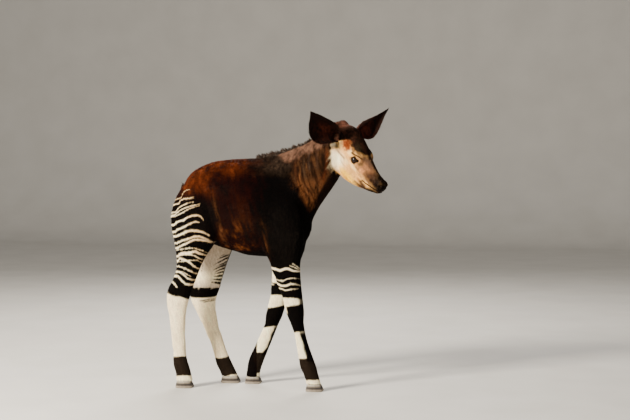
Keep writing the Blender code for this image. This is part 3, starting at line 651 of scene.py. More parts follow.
def ear_frame(name, places):
    """How far up an ear places are, from 0 to 1, how far aside, and the way its hollow faces."""
    run = EAR_TIPS[name] - EAR_ROOTS[name]
    away = np.asarray(places) - EAR_ROOTS[name]
    hollow = np.cross(unit(run), EAR_BREADTHS[name])
    return away @ run / (run @ run), away @ EAR_BREADTHS[name], hollow * np.sign(hollow @ LEVEL)


EAR_SWELL = {
    # share that each ear's breadth gains, from its root to its tip
    "ear_right": ((0, 0.2, 0.5, 0.8, 1.0), (0.0, 0.24, 0.34, 0.32, 0.05)),
    "ear_left": ((0, 0.35, 0.62, 0.82, 1.0), (0.0, 0.0, -0.18, -0.36, -0.30)),
}


def sculpt_ear(places, region, name):
    """The near ear is rounder than its solid and the far one slimmer towards its tip."""
    along, across, _ = ear_frame(name, places)
    share = np.interp(along, *EAR_SWELL[name]) * (region == REGIONS.index(name))
    return places + np.outer(across * share, EAR_BREADTHS[name])


def sculpt_neck(places, normals):
    """Loose skin on a young neck: soft furrows that run down and forwards."""
    spots = calf(places)[:, [0, 2]]
    push = np.zeros(len(places))
    for route in NECK_FURROWS:
        away, along = line_distance(spots, route)
        share = ease(along, 0, 0.25) * (1 - ease(along, 0.75, 1.0))
        push += share * (0.0014 * np.exp(-((away - 0.0095) / 0.005) ** 2) - 0.0034 * np.exp(-((away / 0.0042) ** 2)))
    return places + normals * (push * (abs(normals[:, 1]) > 0.3))[:, None]


places = points_of(skin.data)
region = find_region(places)
for name in EAR_SWELL:
    places = sculpt_ear(places, region, name)
move_points(skin.data, sculpt_neck(places, normals_of(skin.data)))
places = points_of(skin.data)
normals = normals_of(skin.data)
edges = neighbours(skin.data)
region = find_region(places)
lie = unit(relaxed(lie_of(places, normals, region), edges, 40))
mean_normal = relaxed(normals, edges, 9)
on_ear = relaxed(((region == 1) | (region == 2)).astype(float), edges, 4)
rim = on_ear * (1 - ease(np.linalg.norm(mean_normal, axis=1), 0.25, 0.70))
lie = unit(lie + unit(mean_normal) * rim[:, None] * 1.1)
lie = unit(lie - normals * np.sum(lie * normals, axis=1, keepdims=True))
write(skin.data, "lie", lie, "FLOAT_VECTOR")
print("lie of the hair on", len(lie), "points; ear tips", {k: v.round(3).tolist() for k, v in EAR_TIPS.items()})

# %% [markdown]
# ## The markings
# The body is almost black in front and dark mahogany behind, with rusty streaks that are partly
# painted highlight. The haunch and the upper legs carry thin cream stripes, each with its own bends,
# the cannons are white with dark fetlocks, and the face is cream with a black crown and muzzle. Light
# and shade are painted in too: highlights on the croup, the lower flank, the fold in front of the
# thigh, the neck's folds, the poll and the wet muzzle, a sheen on the nape and withers, and shade in
# the neck's furrows, the mouth's groove, down the front of the face and up the inside of the thigh.
# All of this is one function of a place on the hide: it is asked for every point of the skin and
# again for the root of every tuft, so both carry the same markings, and the edges of a stripe are
# ragged because tufts are whole.

# %% Noise and colours for arrays
SHOWN = (0, 7, 15, 27, 44, 67, 98, 136, 170, 197, 217, 233)  # display values of the view transform
LIGHT = [0.0] + [0.004 * 2**k for k in range(11)]  # for these amounts of light
STUDIO = 2.35  # light that falls on the calf's side


def shade(*levels):
    """The reflectance that is seen as display values 0 to 255 in the studio's light."""
    return np.clip(np.interp(levels, SHOWN, LIGHT) / STUDIO, 0.0008, 0.86)


def noise(places, scale, seed=0):
    """Smooth random values from -1 to 1 that change over about scale metres."""
    q = np.asarray(places) / np.asarray(scale, float) + seed * 17.31 + 400
    low = np.floor(q).astype(np.int64)
    f = q - low
    f = f * f * (3 - 2 * f)
    total = 0
    for corner in np.ndindex(2, 2, 2):
        at = low + corner
        dots = at[:, 0] * 374761393 + at[:, 1] * 668265263 + at[:, 2] * 2147483647 + seed * 974634777
        dots = (dots ^ (dots >> 13)) * 1274126177
        value = ((dots ^ (dots >> 16)) & 0xFFFF) / 32767.5 - 1
        weight = np.prod(np.where(corner, f, 1 - f), axis=1)
        total = total + weight * value
    return total


def streaks(p, fine, long, seed, slope=0.25):
    """Noise drawn out down the body along the lie of its hair."""
    q = np.column_stack([p[:, 0] + slope * p[:, 2], p[:, 1], p[:, 2]])
    return noise(q, (fine, fine, long), seed)


def blend(base, colour, share):
    return base + (colour - base) * np.clip(share, 0, 1)[:, None]


# %% The stripes of the haunch and legs
STRIPES = [
    # half thickness, then places (x, z) from the rear forwards
    (0.0017, (-0.313, 0.884), (-0.303, 0.909), (-0.287, 0.921), (-0.258, 0.925)),
    (0.0030, (-0.325, 0.858), (-0.312, 0.873), (-0.291, 0.881), (-0.255, 0.885), (-0.239, 0.889)),
    (0.0026, (-0.341, 0.820), (-0.319, 0.840), (-0.293, 0.851), (-0.265, 0.863), (-0.238, 0.867)),
    (0.0026, (-0.346, 0.805), (-0.331, 0.817), (-0.305, 0.829), (-0.277, 0.841), (-0.253, 0.848), (-0.208, 0.860)),
    (0.0018, (-0.335, 0.802), (-0.309, 0.811), (-0.284, 0.822), (-0.257, 0.837), (-0.234, 0.845), (-0.208, 0.852)),
    (0.0040, (-0.351, 0.760), (-0.330, 0.773), (-0.304, 0.781), (-0.283, 0.785), (-0.267, 0.797), (-0.244, 0.805),
     (-0.214, 0.808), (-0.200, 0.801), (-0.189, 0.786)),
    (0.0036, (-0.343, 0.728), (-0.326, 0.740), (-0.295, 0.748), (-0.271, 0.760), (-0.248, 0.771), (-0.225, 0.779),
     (-0.207, 0.775)),
    (0.0044, (-0.338, 0.707), (-0.318, 0.714), (-0.292, 0.722), (-0.267, 0.734), (-0.244, 0.738), (-0.218, 0.735),
     (-0.196, 0.731), (-0.179, 0.723), (-0.162, 0.712)),
    (0.0036, (-0.331, 0.676), (-0.310, 0.684), (-0.284, 0.693), (-0.257, 0.701), (-0.233, 0.709), (-0.208, 0.709),
     (-0.183, 0.701), (-0.163, 0.689), (-0.148, 0.680)),
    (0.0038, (-0.326, 0.653), (-0.307, 0.662), (-0.277, 0.674), (-0.253, 0.686), (-0.234, 0.694), (-0.208, 0.694),
     (-0.180, 0.690), (-0.158, 0.681)),
    (0.0014, (-0.235, 0.656), (-0.200, 0.645), (-0.181, 0.631)),
    (0.0052, (-0.323, 0.615), (-0.299, 0.629), (-0.274, 0.630), (-0.251, 0.634), (-0.229, 0.641), (-0.212, 0.630),
     (-0.196, 0.625), (-0.180, 0.613)),
    (0.0020, (-0.255, 0.626), (-0.233, 0.619), (-0.214, 0.607), (-0.194, 0.595)),
    (0.0014, (-0.224, 0.600), (-0.205, 0.582)),
    (0.0038, (-0.325, 0.593), (-0.308, 0.606), (-0.279, 0.599), (-0.260, 0.589), (-0.243, 0.573), (-0.215, 0.553)),
    (0.0024, (-0.314, 0.568), (-0.288, 0.562), (-0.262, 0.551), (-0.241, 0.539), (-0.215, 0.528)),
    (0.0032, (-0.328, 0.543), (-0.309, 0.542), (-0.289, 0.532), (-0.270, 0.513), (-0.247, 0.505), (-0.220, 0.506)),
    (0.0014, (-0.292, 0.543), (-0.273, 0.532), (-0.252, 0.521)),
    (0.0042, (-0.336, 0.522), (-0.317, 0.523), (-0.301, 0.506), (-0.282, 0.487), (-0.261, 0.483), (-0.230, 0.484)),
    (0.0028, (-0.348, 0.493), (-0.333, 0.486), (-0.320, 0.468), (-0.304, 0.453)),
]
HAUNCH_REAR = -0.24
STRIPE_REACH = 0.115  # how far each stripe carries on over the back of the buttock
FORE_STRIPES = [
    # half thickness, then places (x, z) from the rear forwards
    (0.0050, (0.118, 0.566), (0.150, 0.561), (0.165, 0.557), (0.190, 0.566), (0.207, 0.566), (0.228, 0.556), (0.26, 0.551)),
    (0.0012, (0.212, 0.580), (0.230, 0.574), (0.248, 0.562), (0.27, 0.560)),
    (0.0012, (0.225, 0.589), (0.240, 0.579), (0.252, 0.567), (0.27, 0.566)),
    (0.0017, (0.140, 0.513), (0.160, 0.511), (0.180, 0.509), (0.203, 0.519), (0.226, 0.523), (0.26, 0.517)),
    (0.0044, (0.125, 0.500), (0.150, 0.494), (0.172, 0.486), (0.195, 0.488), (0.215, 0.496), (0.236, 0.494), (0.26, 0.486)),
    (0.0023, (0.150, 0.474), (0.170, 0.471), (0.190, 0.466), (0.207, 0.470), (0.228, 0.472), (0.25, 0.474)),
]

def wrapped(p):
    """x and z of the haunch, with x carried on over the back of the buttock."""
    breadth = np.interp(p[:, 2], (0.45, 0.55, 0.65, 0.75, 0.85, 0.95), (0.090, 0.105, 0.122, 0.132, 0.128, 0.11))
    inward = np.clip(breadth - abs(p[:, 1]), 0, None) * ease(HAUNCH_REAR - p[:, 0], 0, 0.05)
    return np.column_stack([p[:, 0] - 0.9 * inward, p[:, 2] - 0.10 * inward])


def stripe_cover(p, n, side, seed):
    """How much of each place is covered by the haunch's stripes."""
    spots = wrapped(p)
    wave = noise(p, 0.045, seed) * 0.0014
    spots = spots + np.column_stack([0 * wave, wave])
    cover = np.zeros(len(p))
    for k, (thick, *route) in enumerate(STRIPES):
        shift = 0.0 if side < 0 else 0.006 * math.sin(2.1 * k)
        route = np.array(route) + (0, shift)
        lead = route[0] + (-STRIPE_REACH, -0.020 - 0.3 * (route[1][1] - route[0][1]))
        away, along = line_distance(spots, [lead, (lead + route[0] * 2) / 3 + (0, 0.002), *route])
        width = (1.06 - 0.22 * ease(p[:, 2], 0.76, 0.86)) * thick * (0.35 + 0.65 * ease(1 - along, 0.0, 0.16)) * (1 + 0.20 * noise(p, 0.025, seed + k))
        cover = np.maximum(cover, 1 - ease(away, width * 0.70, width * 1.15))
    return cover

# %% [markdown]
# The legs are banded. Each leg has its own list of bands, since no two are alike: the height where
# a band ends, and how much higher that edge is at the front of the leg and on its outer side.

# %% Bands of the legs
BLACK, SOOT, UMBER = shade(8, 5, 3), shade(44, 32, 24), shade(58, 38, 26)
MAHOGANY, RUST = shade(27, 6, 3), shade(112, 46, 18)
CREAM, BONE, MILK = np.array((0.90, 0.64, 0.30)), np.array((0.92, 0.76, 0.50)), np.array((0.94, 0.80, 0.53))
BANDS = {
    # colour, and the height, front rise and outer rise of its lower edge, from the top down
    "hindleg_right": [(BLACK, 0.424, -0.014, 0.004), (BONE, 0.147, 0.004, 0.0),
                      (SOOT, 0.056, 0.002, 0.0), (MILK, 0.020, 0, 0)],
    "hindleg_left": [(BLACK, 0.408, 0.004, 0.006), (BONE, 0.122, 0.006, 0.002),
                     (SOOT, 0.034, 0.010, 0.0), (BONE, 0.018, 0, 0)],
    "foreleg_right": [(BLACK, 0.428, -0.002, 0.002), (MILK, 0.400, 0.008, -0.004), (BLACK, 0.272, 0.004, 0.002),
                      (MILK, 0.150, 0.002, 0.004), (SOOT, 0.052, 0.004, 0.0), (MILK, 0.020, 0, 0)],
    "foreleg_left": [(BLACK, 0.426, 0.004, 0.0), (MILK, 0.374, 0.012, 0.006), (BLACK, 0.270, 0.006, -0.004),
                     (MILK, 0.153, -0.002, 0.004), (SOOT, 0.052, 0.002, 0.002), (MILK, 0.024, 0, 0)],
}


def leg_axis(name):
    spots = np.vstack([points_of(NODES[n].data) for n in FLESH if n.startswith(name)])
    levels = np.linspace(0.03, 0.62, 30)
    rows = []
    for z in levels:
        near = spots[abs(spots[:, 2] - z) < 0.022]
        rows.append([*(near.min(0) + near.max(0))[:2] / 2, *np.ptp(near, axis=0)[:2] / 2])
    return levels, np.array(rows)


LEG_AXES = {name: leg_axis(name) for name in LEGS}
LEG_SHIFT = [float(np.interp(z, LEG_AXES["foreleg_right"][0], LEG_AXES["foreleg_right"][1][:, 0])
                   - np.interp(z, LEG_AXES["foreleg_left"][0], LEG_AXES["foreleg_left"][1][:, 0])) for z in (0.42, 0.62)]


def round_leg(name, places):
    """Where a place is round its leg: 1 at the front to -1 behind, and 1 outside to -1 inside."""
    levels, rows = LEG_AXES[name]
    side = -1 if name.endswith("right") else 1
    x, y, half_x, half_y = (np.interp(places[:, 2], levels, row) for row in rows.T)
    return np.clip((places[:, 0] - x) / half_x, -1.3, 1.3), np.clip((places[:, 1] - y) / half_y, -1.3, 1.3) * side


def paint_leg(name, places, tone, seed):
    front, outer = round_leg(name, places)
    z = places[:, 2] + noise(places, 0.008, seed) * 0.0012 + noise(places, 0.035, seed + 3) * 0.0032
    top = BANDS[name][0][1] + 0.075
    colour = tone.copy()
    share = 1 - ease(z, top - 0.012, top + 0.012)
    for k, (band, low, rise, outward) in enumerate(BANDS[name]):
        above = (share if k == 0 else 1 - ease(z, *limits))
        colour = blend(colour, band, above)
        edge = low + rise * front + outward * outer
        limits = edge - 0.0022, edge + 0.0022
    if name.startswith("fore"):
        strip = ease(front + 0.10 * noise(places, 0.02, seed), *((0.05, 0.25) if name.endswith("right") else (0.42, 0.62)))
        colour = blend(colour, BLACK, strip * (1 - ease(z, 0.26, 0.30)) * ease(z, 0.12, 0.15))
        if name.endswith("right"):
            rear_strip = ease(-front, 0.62, 0.82) * ease(z, 0.352, 0.372) * (1 - ease(z, 0.40, 0.42))
            colour = blend(colour, MILK, rear_strip)
            colour = blend(colour, BLACK, ease(front, 0.55, 0.8) * ease(z, 0.37, 0.40) * (1 - ease(z, 0.43, 0.45)) * 0.9)
    elif name.endswith("left"):
        for drop, start in ((0.392, -0.35), (0.383, -0.10)):
            streak = 1 - ease(abs(z - drop - 0.010 * front), 0.0020, 0.0046)
            colour = blend(colour, shade(48, 38, 30), streak * ease(front, start, start + 0.25) * (1 - ease(front, 0.75, 0.95)) * 0.8)
    return colour


def paint_fore_top(name, places, tone, seed):
    """The thin stripes on the outside of the forearm and the pale patch inside it."""
    front, outer = round_leg(name, places)
    side = -1 if name.endswith("right") else 1
    p = calf(places)
    spots = p[:, [0, 2]] + np.column_stack([0 * front, noise(places, 0.024, seed) * 0.0012])
    if side > 0:
        shift = np.interp(p[:, 2], (0.42, 0.62), LEG_SHIFT)
        spots = spots + np.column_stack([shift, 0.004 * np.sin(40 * p[:, 0])])
    cover = np.zeros(len(p))
    for k, (thick, *route) in enumerate(FORE_STRIPES):
        away, along = line_distance(spots, route)
        fade = 1 if thick > 0.0045 else 1 - 0.65 * ease(along, 0.6, 0.95)
        width = thick * (0.55 + 0.45 * ease(1 - along, 0.0, 0.5))
        cover = np.maximum(cover, (1 - ease(away, width * 0.75, width * 1.25)) * fade)
    tone = blend(tone, BONE, cover * ease(outer, -0.75, -0.35) * 0.95)
    inner = ease(-outer, 0.05, 0.35) * ease(places[:, 2], 0.478, 0.486) * (1 - ease(places[:, 2], 0.54, 0.56))
    return blend(tone, MILK, inner * ease(-front, -0.9, -0.4))

# %% [markdown]
# The face is painted as soft strokes, each an ellipsoid in the head's own measures, laid one over
# the other from the cream base to the dark muzzle. A stroke at a breadth c stands on both sides.

# %% Strokes of the face
FACE_STROKES = [
    # colour, centre (a, c, b), reach (a, c, b), softness 0 to 1, strength
    (MILK, (0.133, 0.060, -0.116), (0.058, 0.09, 0.048), 0.9, 1.0),
    (shade(176, 154, 104), (0.096, 0.060, -0.048), (0.022, 0.09, 0.028), 0.9, 0.95),
    (shade(104, 90, 62), (0.086, 0.060, -0.069), (0.030, 0.06, 0.012), 0.9, 0.85),
    (shade(160, 140, 108), (0.122, 0.060, -0.080), (0.026, 0.06, 0.008), 0.9, 0.65),
    (np.array((0.78, 0.44, 0.036)), (0.220, 0.035, -0.124), (0.066, 0.06, 0.020), 0.9, 0.95),
    (np.array((0.58, 0.28, 0.024)), (0.226, 0.030, -0.137), (0.050, 0.05, 0.009), 0.9, 0.8),
    (shade(158, 126, 80), (0.142, 0.055, -0.079), (0.034, 0.05, 0.005), 0.9, 0.7),
    (shade(164, 130, 84), (0.172, 0.055, -0.097), (0.034, 0.05, 0.005), 0.9, 0.6),
    (BONE, (0.074, 0.055, -0.078), (0.018, 0.06, 0.016), 0.9, 0.8),
    (CREAM, (0.214, 0.045, -0.066), (0.024, 0.05, 0.013), 0.9, 0.85),
    (CREAM, (0.176, 0.045, -0.078), (0.018, 0.05, 0.012), 0.9, 0.8),
    (CREAM, (0.154, 0.050, -0.034), (0.019, 0.05, 0.014), 0.9, 0.7),
    # The tan strokes down the front of the face are darker than the cheek: partly its own tan, partly painted shade
    # where the face turns from the light.
    (shade(176, 134, 94), (0.266, 0.030, -0.022), (0.078, 0.07, 0.046), 0.9, 0.9),
    (shade(136, 100, 76), (0.252, 0.030, 0.002), (0.052, 0.06, 0.019), 0.9, 0.95),
    (shade(96, 68, 42), (0.186, 0.040, 0.000), (0.028, 0.05, 0.011), 0.9, 0.9),
    (shade(140, 112, 70), (0.232, 0.045, -0.026), (0.012, 0.03, 0.011), 0.9, 0.7),
    (shade(150, 118, 78), (0.236, 0.045, -0.053), (0.016, 0.03, 0.008), 0.9, 0.6),
    (shade(220, 186, 140), (0.258, 0.045, -0.046), (0.016, 0.03, 0.012), 0.9, 0.7),
    (shade(136, 98, 64), (0.262, 0.035, -0.070), (0.020, 0.04, 0.007), 0.9, 0.55),
    (shade(124, 88, 60), (0.286, 0.030, -0.036), (0.022, 0.04, 0.020), 0.9, 0.75),
    (shade(72, 44, 30), (0.312, 0.028, -0.026), (0.036, 0.06, 0.036), 0.9, 0.95),
    (shade(196, 152, 100), (0.276, 0.040, -0.088), (0.020, 0.04, 0.008), 0.9, 0.7),
    (shade(132, 92, 62), (0.310, 0.036, -0.056), (0.030, 0.06, 0.009), 0.9, 0.8),
    (shade(66, 38, 24), (0.300, 0.032, -0.088), (0.040, 0.06, 0.009), 0.9, 0.9),
    (shade(150, 108, 70), (0.300, 0.020, -0.112), (0.050, 0.05, 0.014), 0.9, 0.8),
    (shade(44, 26, 18), (0.320, 0.034, -0.040), (0.010, 0.03, 0.010), 0.9, 0.85),
    (shade(46, 28, 20), (0.346, 0.030, -0.026), (0.034, 0.07, 0.044), 0.9, 1.0),
    (shade(88, 58, 40), (0.316, 0.030, -0.094), (0.036, 0.06, 0.018), 0.9, 0.9),
    (shade(30, 19, 14), (0.344, 0.020, -0.086), (0.026, 0.05, 0.020), 0.9, 1.0),
    (BLACK * 1.8, (0.388, 0.000, -0.028), (0.054, 0.08, 0.046), 0.6, 1.0),
    (BLACK * 1.8, (0.342, 0.000, 0.004), (0.048, 0.056, 0.024), 0.8, 1.0),
    (BLACK * 1.8, (0.368, 0.000, -0.074), (0.042, 0.05, 0.026), 0.6, 1.0),
    (shade(44, 28, 18), (0.275, 0.000, 0.004), (0.065, 0.012, 0.02), 0.6, 0.95),
]
CROWN_EDGE = ((-0.02, 0.05, 0.064, 0.074, 0.083, 0.095, 0.112, 0.130, 0.150, 0.168, 0.182, 0.198, 0.214, 0.236, 0.250),
              (-0.16, -0.11, -0.086, -0.062, -0.036, -0.012, 0.002, -0.001, -0.007, -0.007, 0.001, 0.009, 0.013, 0.007, 0.03))
CHEEK_REAR = ((-0.200, -0.176, -0.163, -0.149, -0.136, -0.114, -0.093, -0.086), (0.300, 0.226, 0.190, 0.158, 0.134, 0.108, 0.084, 0.062))
BROW_STREAK = ((0.166, -0.026), (0.182, -0.022), (0.198, -0.012), (0.219, -0.005))
JAW_STREAK = ((0.250, -0.108), (0.268, -0.110), (0.292, -0.105), (0.315, -0.096), (0.345, -0.086))


def paint_head(h, tone, seed):
    around = np.column_stack([h[:, 0], abs(h[:, 1]), h[:, 2]])
    around = around + np.column_stack([noise(h, 0.020, seed + i) for i in range(3)]) * 0.0028
    around = around + np.column_stack([noise(h, 0.006, seed + i) for i in range(3)]) * 0.0014
    a, c, b = around.T
    near = ease(c, 0.02, 0.035)
    face = ease(a - np.interp(b, *CHEEK_REAR), -0.006, 0.004)
    tone = blend(tone, (0.68, 0.36, 0.115), face)
    for colour, centre, reach, soft, strength in FACE_STROKES:
        away = np.linalg.norm((around - centre) / reach, axis=1)
        tone = blend(tone, colour, strength * (1 - ease(away, 1 - soft * 0.8, 1 + soft * 0.3)) * face)
    mottle = np.clip(noise(h, 0.0075, seed + 12) + 0.5 * noise(h, 0.0032, seed + 13), 0, 1)
    tone = blend(tone, shade(122, 88, 54), mottle * ease(a - 0.3 * b, 0.225, 0.270) * (1 - ease(a, 0.285, 0.315)) * 0.55 * face)
    # Lighter flecks on the muzzle: partly mottling, partly painted highlight of the wet muzzle.
    flecks = np.clip(noise(h, 0.0050, seed + 14) + 0.4 * noise(h, 0.0024, seed + 15) - 0.15, 0, 1)
    tone = blend(tone, shade(112, 84, 68), flecks * ease(a, 0.285, 0.310) * (1 - ease(a, 0.395, 0.415)) * 0.6)
    away, along = line_distance(around[:, [0, 2]], JAW_STREAK)
    tone = blend(tone, shade(62, 34, 22), (1 - ease(away, 0.0016, 0.0080)) * ease(along, 0, 0.35) * 0.9)
    crown = ease(b - np.interp(a, *CROWN_EDGE), -0.004, 0.004)
    warm = np.clip(noise(h, 0.016, seed + 4) + 0.7 * noise(h, 0.006, seed + 5) + 0.25, 0, 1)
    top = blend(np.tile(shade(38, 21, 13), (len(h), 1)), shade(104, 56, 40), warm * (0.35 + 0.65 * (1 - ease(a, 0.06, 0.16))) * 0.65)
    # The poll is lighter pinkish brown: partly its own hair, partly painted highlight on the top of the head.
    poll = np.exp(-(((a - 0.018) / 0.026) ** 2)) * ease(b, -0.012, 0.012)
    top = blend(top, shade(168, 116, 96), poll * (0.55 + 0.45 * noise(h, 0.008, seed + 6)))
    olive = np.hypot((a - 0.172) / 0.030, (b - 0.010) / 0.014)
    top = blend(top, shade(62, 48, 30), (1 - ease(olive, 0.4, 1.3)) * near * 0.6)
    orange = np.hypot((a - 0.116) / 0.026, (b + 0.020 + 0.30 * (a - 0.116)) / 0.024) + 0.30 * noise(h, 0.0075, seed + 8) + 0.16 * noise(h, 0.003, seed + 9)
    tone = blend(tone, shade(180, 104, 52), (1 - ease(orange, 0.60, 1.65)) * near * 0.80)
    tone = blend(tone, shade(138, 54, 16), (1 - ease(orange, 0.30, 1.30)) * near * 0.94)
    above = np.hypot((a - 0.112) / 0.022, (b + 0.002) / 0.010)
    tone = blend(tone, shade(112, 48, 20), (1 - ease(above, 0.4, 1.3)) * near * 0.8)
    dark = np.hypot((a - 0.140) / 0.014, (b + 0.004) / 0.011) * (1 + 0.2 * noise(h, 0.005, seed + 9))
    tone = blend(tone, shade(48, 18, 14), (1 - ease(dark, 0.5, 1.25)) * near * 0.95)
    warm_edge = np.hypot((a - 0.160) / 0.018, (b + 0.013) / 0.010)
    tone = blend(tone, shade(104, 60, 34), (1 - ease(warm_edge, 0.4, 1.4)) * near * 0.85)
    away, along = line_distance(around[:, [0, 2]], BROW_STREAK)
    tone = blend(tone, shade(66, 38, 24), (1 - ease(away, 0.0026 - 0.0010 * along, 0.0084 - 0.0024 * along)) * (c > 0.02) * 0.92)
    tone = blend(tone, top, crown)
    for hand in (-1, 1):
        along, across, ring, out = lid_frame(h, hand)
        low_shadow = (1 - ease(ring, 1.7, 2.4)) * ease(-across, -0.002, 0.004) * (out > 0)
        tone = blend(tone, shade(150, 126, 104), low_shadow * 0.55)
        tone = blend(tone, shade(18, 12, 9), (1 - ease(ring, 1.42, 1.78)) * (out > -0.012) * 0.97)
    # The mouth's line is painted dark: partly its dark lips, partly painted shade in its groove.
    away, along = line_distance(h[:, [0, 2]], MOUTH)
    return blend(tone, shade(36, 21, 15), (1 - ease(away, 0.0016, 0.0046)) * (h[:, 0] > 0.26) * 0.9)


# %% The body's own tones, and all of it together
def paint_trunk(p, n, seed):
    fine = streaks(p, 0.006, 0.045, seed + 1)
    broad = streaks(p, 0.020, 0.110, seed + 2)
    height = p[:, 2]
    border = -p[:, 0] + 0.030 * noise(p, 0.07, seed) + 0.030 * broad + 0.012 * fine
    rear = ease(border, -0.115, 0.000)
    tone = blend(np.tile(BLACK, (len(p), 1)), MAHOGANY, rear)
    # The croup is painted redder and brighter along its top and rear, with brighter streaks: partly its own reddish
    # hair, partly painted highlight.
    croup = ease(-p[:, 0] - 0.10 * ease(height, 0.86, 1.0) + 0.03 * broad, 0.02, 0.16) * ease(height, 0.86, 0.95)
    croup = np.maximum(croup, 0.75 * ease(-p[:, 0], -0.03, 0.05) * ease(height + 0.015 * broad, 0.96, 1.02))
    tone = blend(tone, shade(104, 40, 15), croup * (0.62 + 0.30 * fine + 0.45 * broad))
    tone = blend(tone, shade(150, 74, 30), croup * np.clip(0.55 * fine + 0.55 * broad - 0.18, 0, 1))
    # The lower flank and the rusty streaks behind are painted lighter and more orange: partly the hair's own rust,
    # partly painted highlight.
    flank = np.exp(-(((p[:, 0] + 0.050) / 0.070) ** 2)) * (1 - ease(height + 0.02 * broad, 0.69, 0.84)) * ease(height, 0.61, 0.64)
    red = np.clip(0.55 * fine + 0.75 * broad + 0.05, 0, 1)
    tone = blend(tone, shade(92, 36, 15), red * rear * (0.26 + 0.74 * flank))
    tone = blend(tone, shade(138, 76, 34), np.clip(red - 0.12, 0, 1) * flank * 1.2)
    # A lighter streak down the fold in front of the thigh: painted highlight on the fold.
    crease = np.exp(-(((p[:, 0] + 0.118 - 0.20 * (0.76 - height)) / 0.010) ** 2)) * (1 - ease(height, 0.84, 0.92))
    tone = blend(tone, shade(140, 88, 50), crease * np.clip(0.35 + 0.8 * fine, 0, 1) * 0.7)
    tone = blend(tone, BLACK * 0.8, np.clip(-0.6 * fine - 0.8 * broad - 0.08, 0, 1) * (0.9 - 0.5 * croup))
    belly_line = np.interp(p[:, 0], (-0.15, -0.08, 0.0, 0.08), (0.660, 0.640, 0.630, 0.640))
    belly = 1 - ease(height - belly_line - 0.004 * broad, -0.004, 0.012)
    haunch = np.exp(-(((p[:, 0] + 0.168) / 0.042) ** 4)) * (1 - ease(height, 0.82, 0.92))
    tone = blend(tone, BLACK, np.maximum(belly, haunch * 0.95) * 0.95)
    # A greyish band along the top of the withers: painted sheen.
    withers = np.exp(-(((p[:, 0] - 0.15) / 0.10) ** 2)) * ease(height + 0.012 * broad, 0.972, 1.035)
    tone = blend(tone, shade(92, 70, 54), withers * (0.38 + 0.50 * fine) * 0.85)
    elbow = np.exp(-(((p[:, 0] - 0.098 - 0.12 * (0.70 - height)) / 0.009) ** 2)) * (1 - ease(height, 0.74, 0.82))
    return blend(tone, shade(120, 70, 38), elbow * np.clip(0.2 + 0.9 * fine, 0, 1) * ease(height, 0.58, 0.62) * 0.75)


# Light streaks down the neck's folds: partly the hair's own warm colour, partly painted highlight on the folds.
NECK_STREAKS = [
    # colour, half width, places (x, z) from the top down
    (shade(150, 102, 62), 0.0026, (0.268, 1.030), (0.272, 0.985), (0.288, 0.945), (0.308, 0.905), (0.322, 0.876)),
    (shade(134, 86, 50), 0.0026, (0.284, 1.060), (0.280, 1.010), (0.290, 0.965), (0.312, 0.925), (0.330, 0.898)),
    (shade(120, 74, 44), 0.0030, (0.330, 1.060), (0.330, 1.010), (0.342, 0.970), (0.356, 0.946)),
    (shade(134, 66, 32), 0.0070, (0.372, 1.130), (0.378, 1.080), (0.372, 1.020), (0.362, 0.975), (0.366, 0.945)),
    (shade(140, 98, 64), 0.0030, (0.310, 0.995), (0.318, 0.962), (0.334, 0.936), (0.352, 0.912)),
    (shade(138, 92, 56), 0.0034, (0.297, 0.995), (0.306, 0.958), (0.318, 0.922), (0.336, 0.893)),
    (shade(164, 112, 66), 0.0036, (0.250, 1.045), (0.254, 0.978), (0.272, 0.940), (0.291, 0.908), (0.310, 0.874), (0.322, 0.852)),
    (shade(104, 56, 32), 0.0070, (0.232, 1.085), (0.228, 1.050), (0.232, 1.010), (0.243, 0.976), (0.255, 0.958)),
    (shade(118, 74, 44), 0.0036, (0.247, 1.050), (0.258, 1.000), (0.268, 0.960), (0.290, 0.920)),
    (shade(98, 74, 58), 0.0024, (0.224, 0.995), (0.236, 0.960), (0.250, 0.922)),
    (shade(112, 68, 40), 0.0034, (0.334, 0.980), (0.350, 0.952), (0.360, 0.934)),
    (shade(110, 80, 56), 0.0060, (0.268, 1.090), (0.266, 1.040), (0.272, 0.998), (0.284, 0.965)),
    (shade(96, 74, 60), 0.0050, (0.296, 1.120), (0.292, 1.070), (0.296, 1.030), (0.300, 1.000)),
    (shade(84, 60, 46), 0.0050, (0.328, 1.110), (0.330, 1.060), (0.332, 1.010)),
]


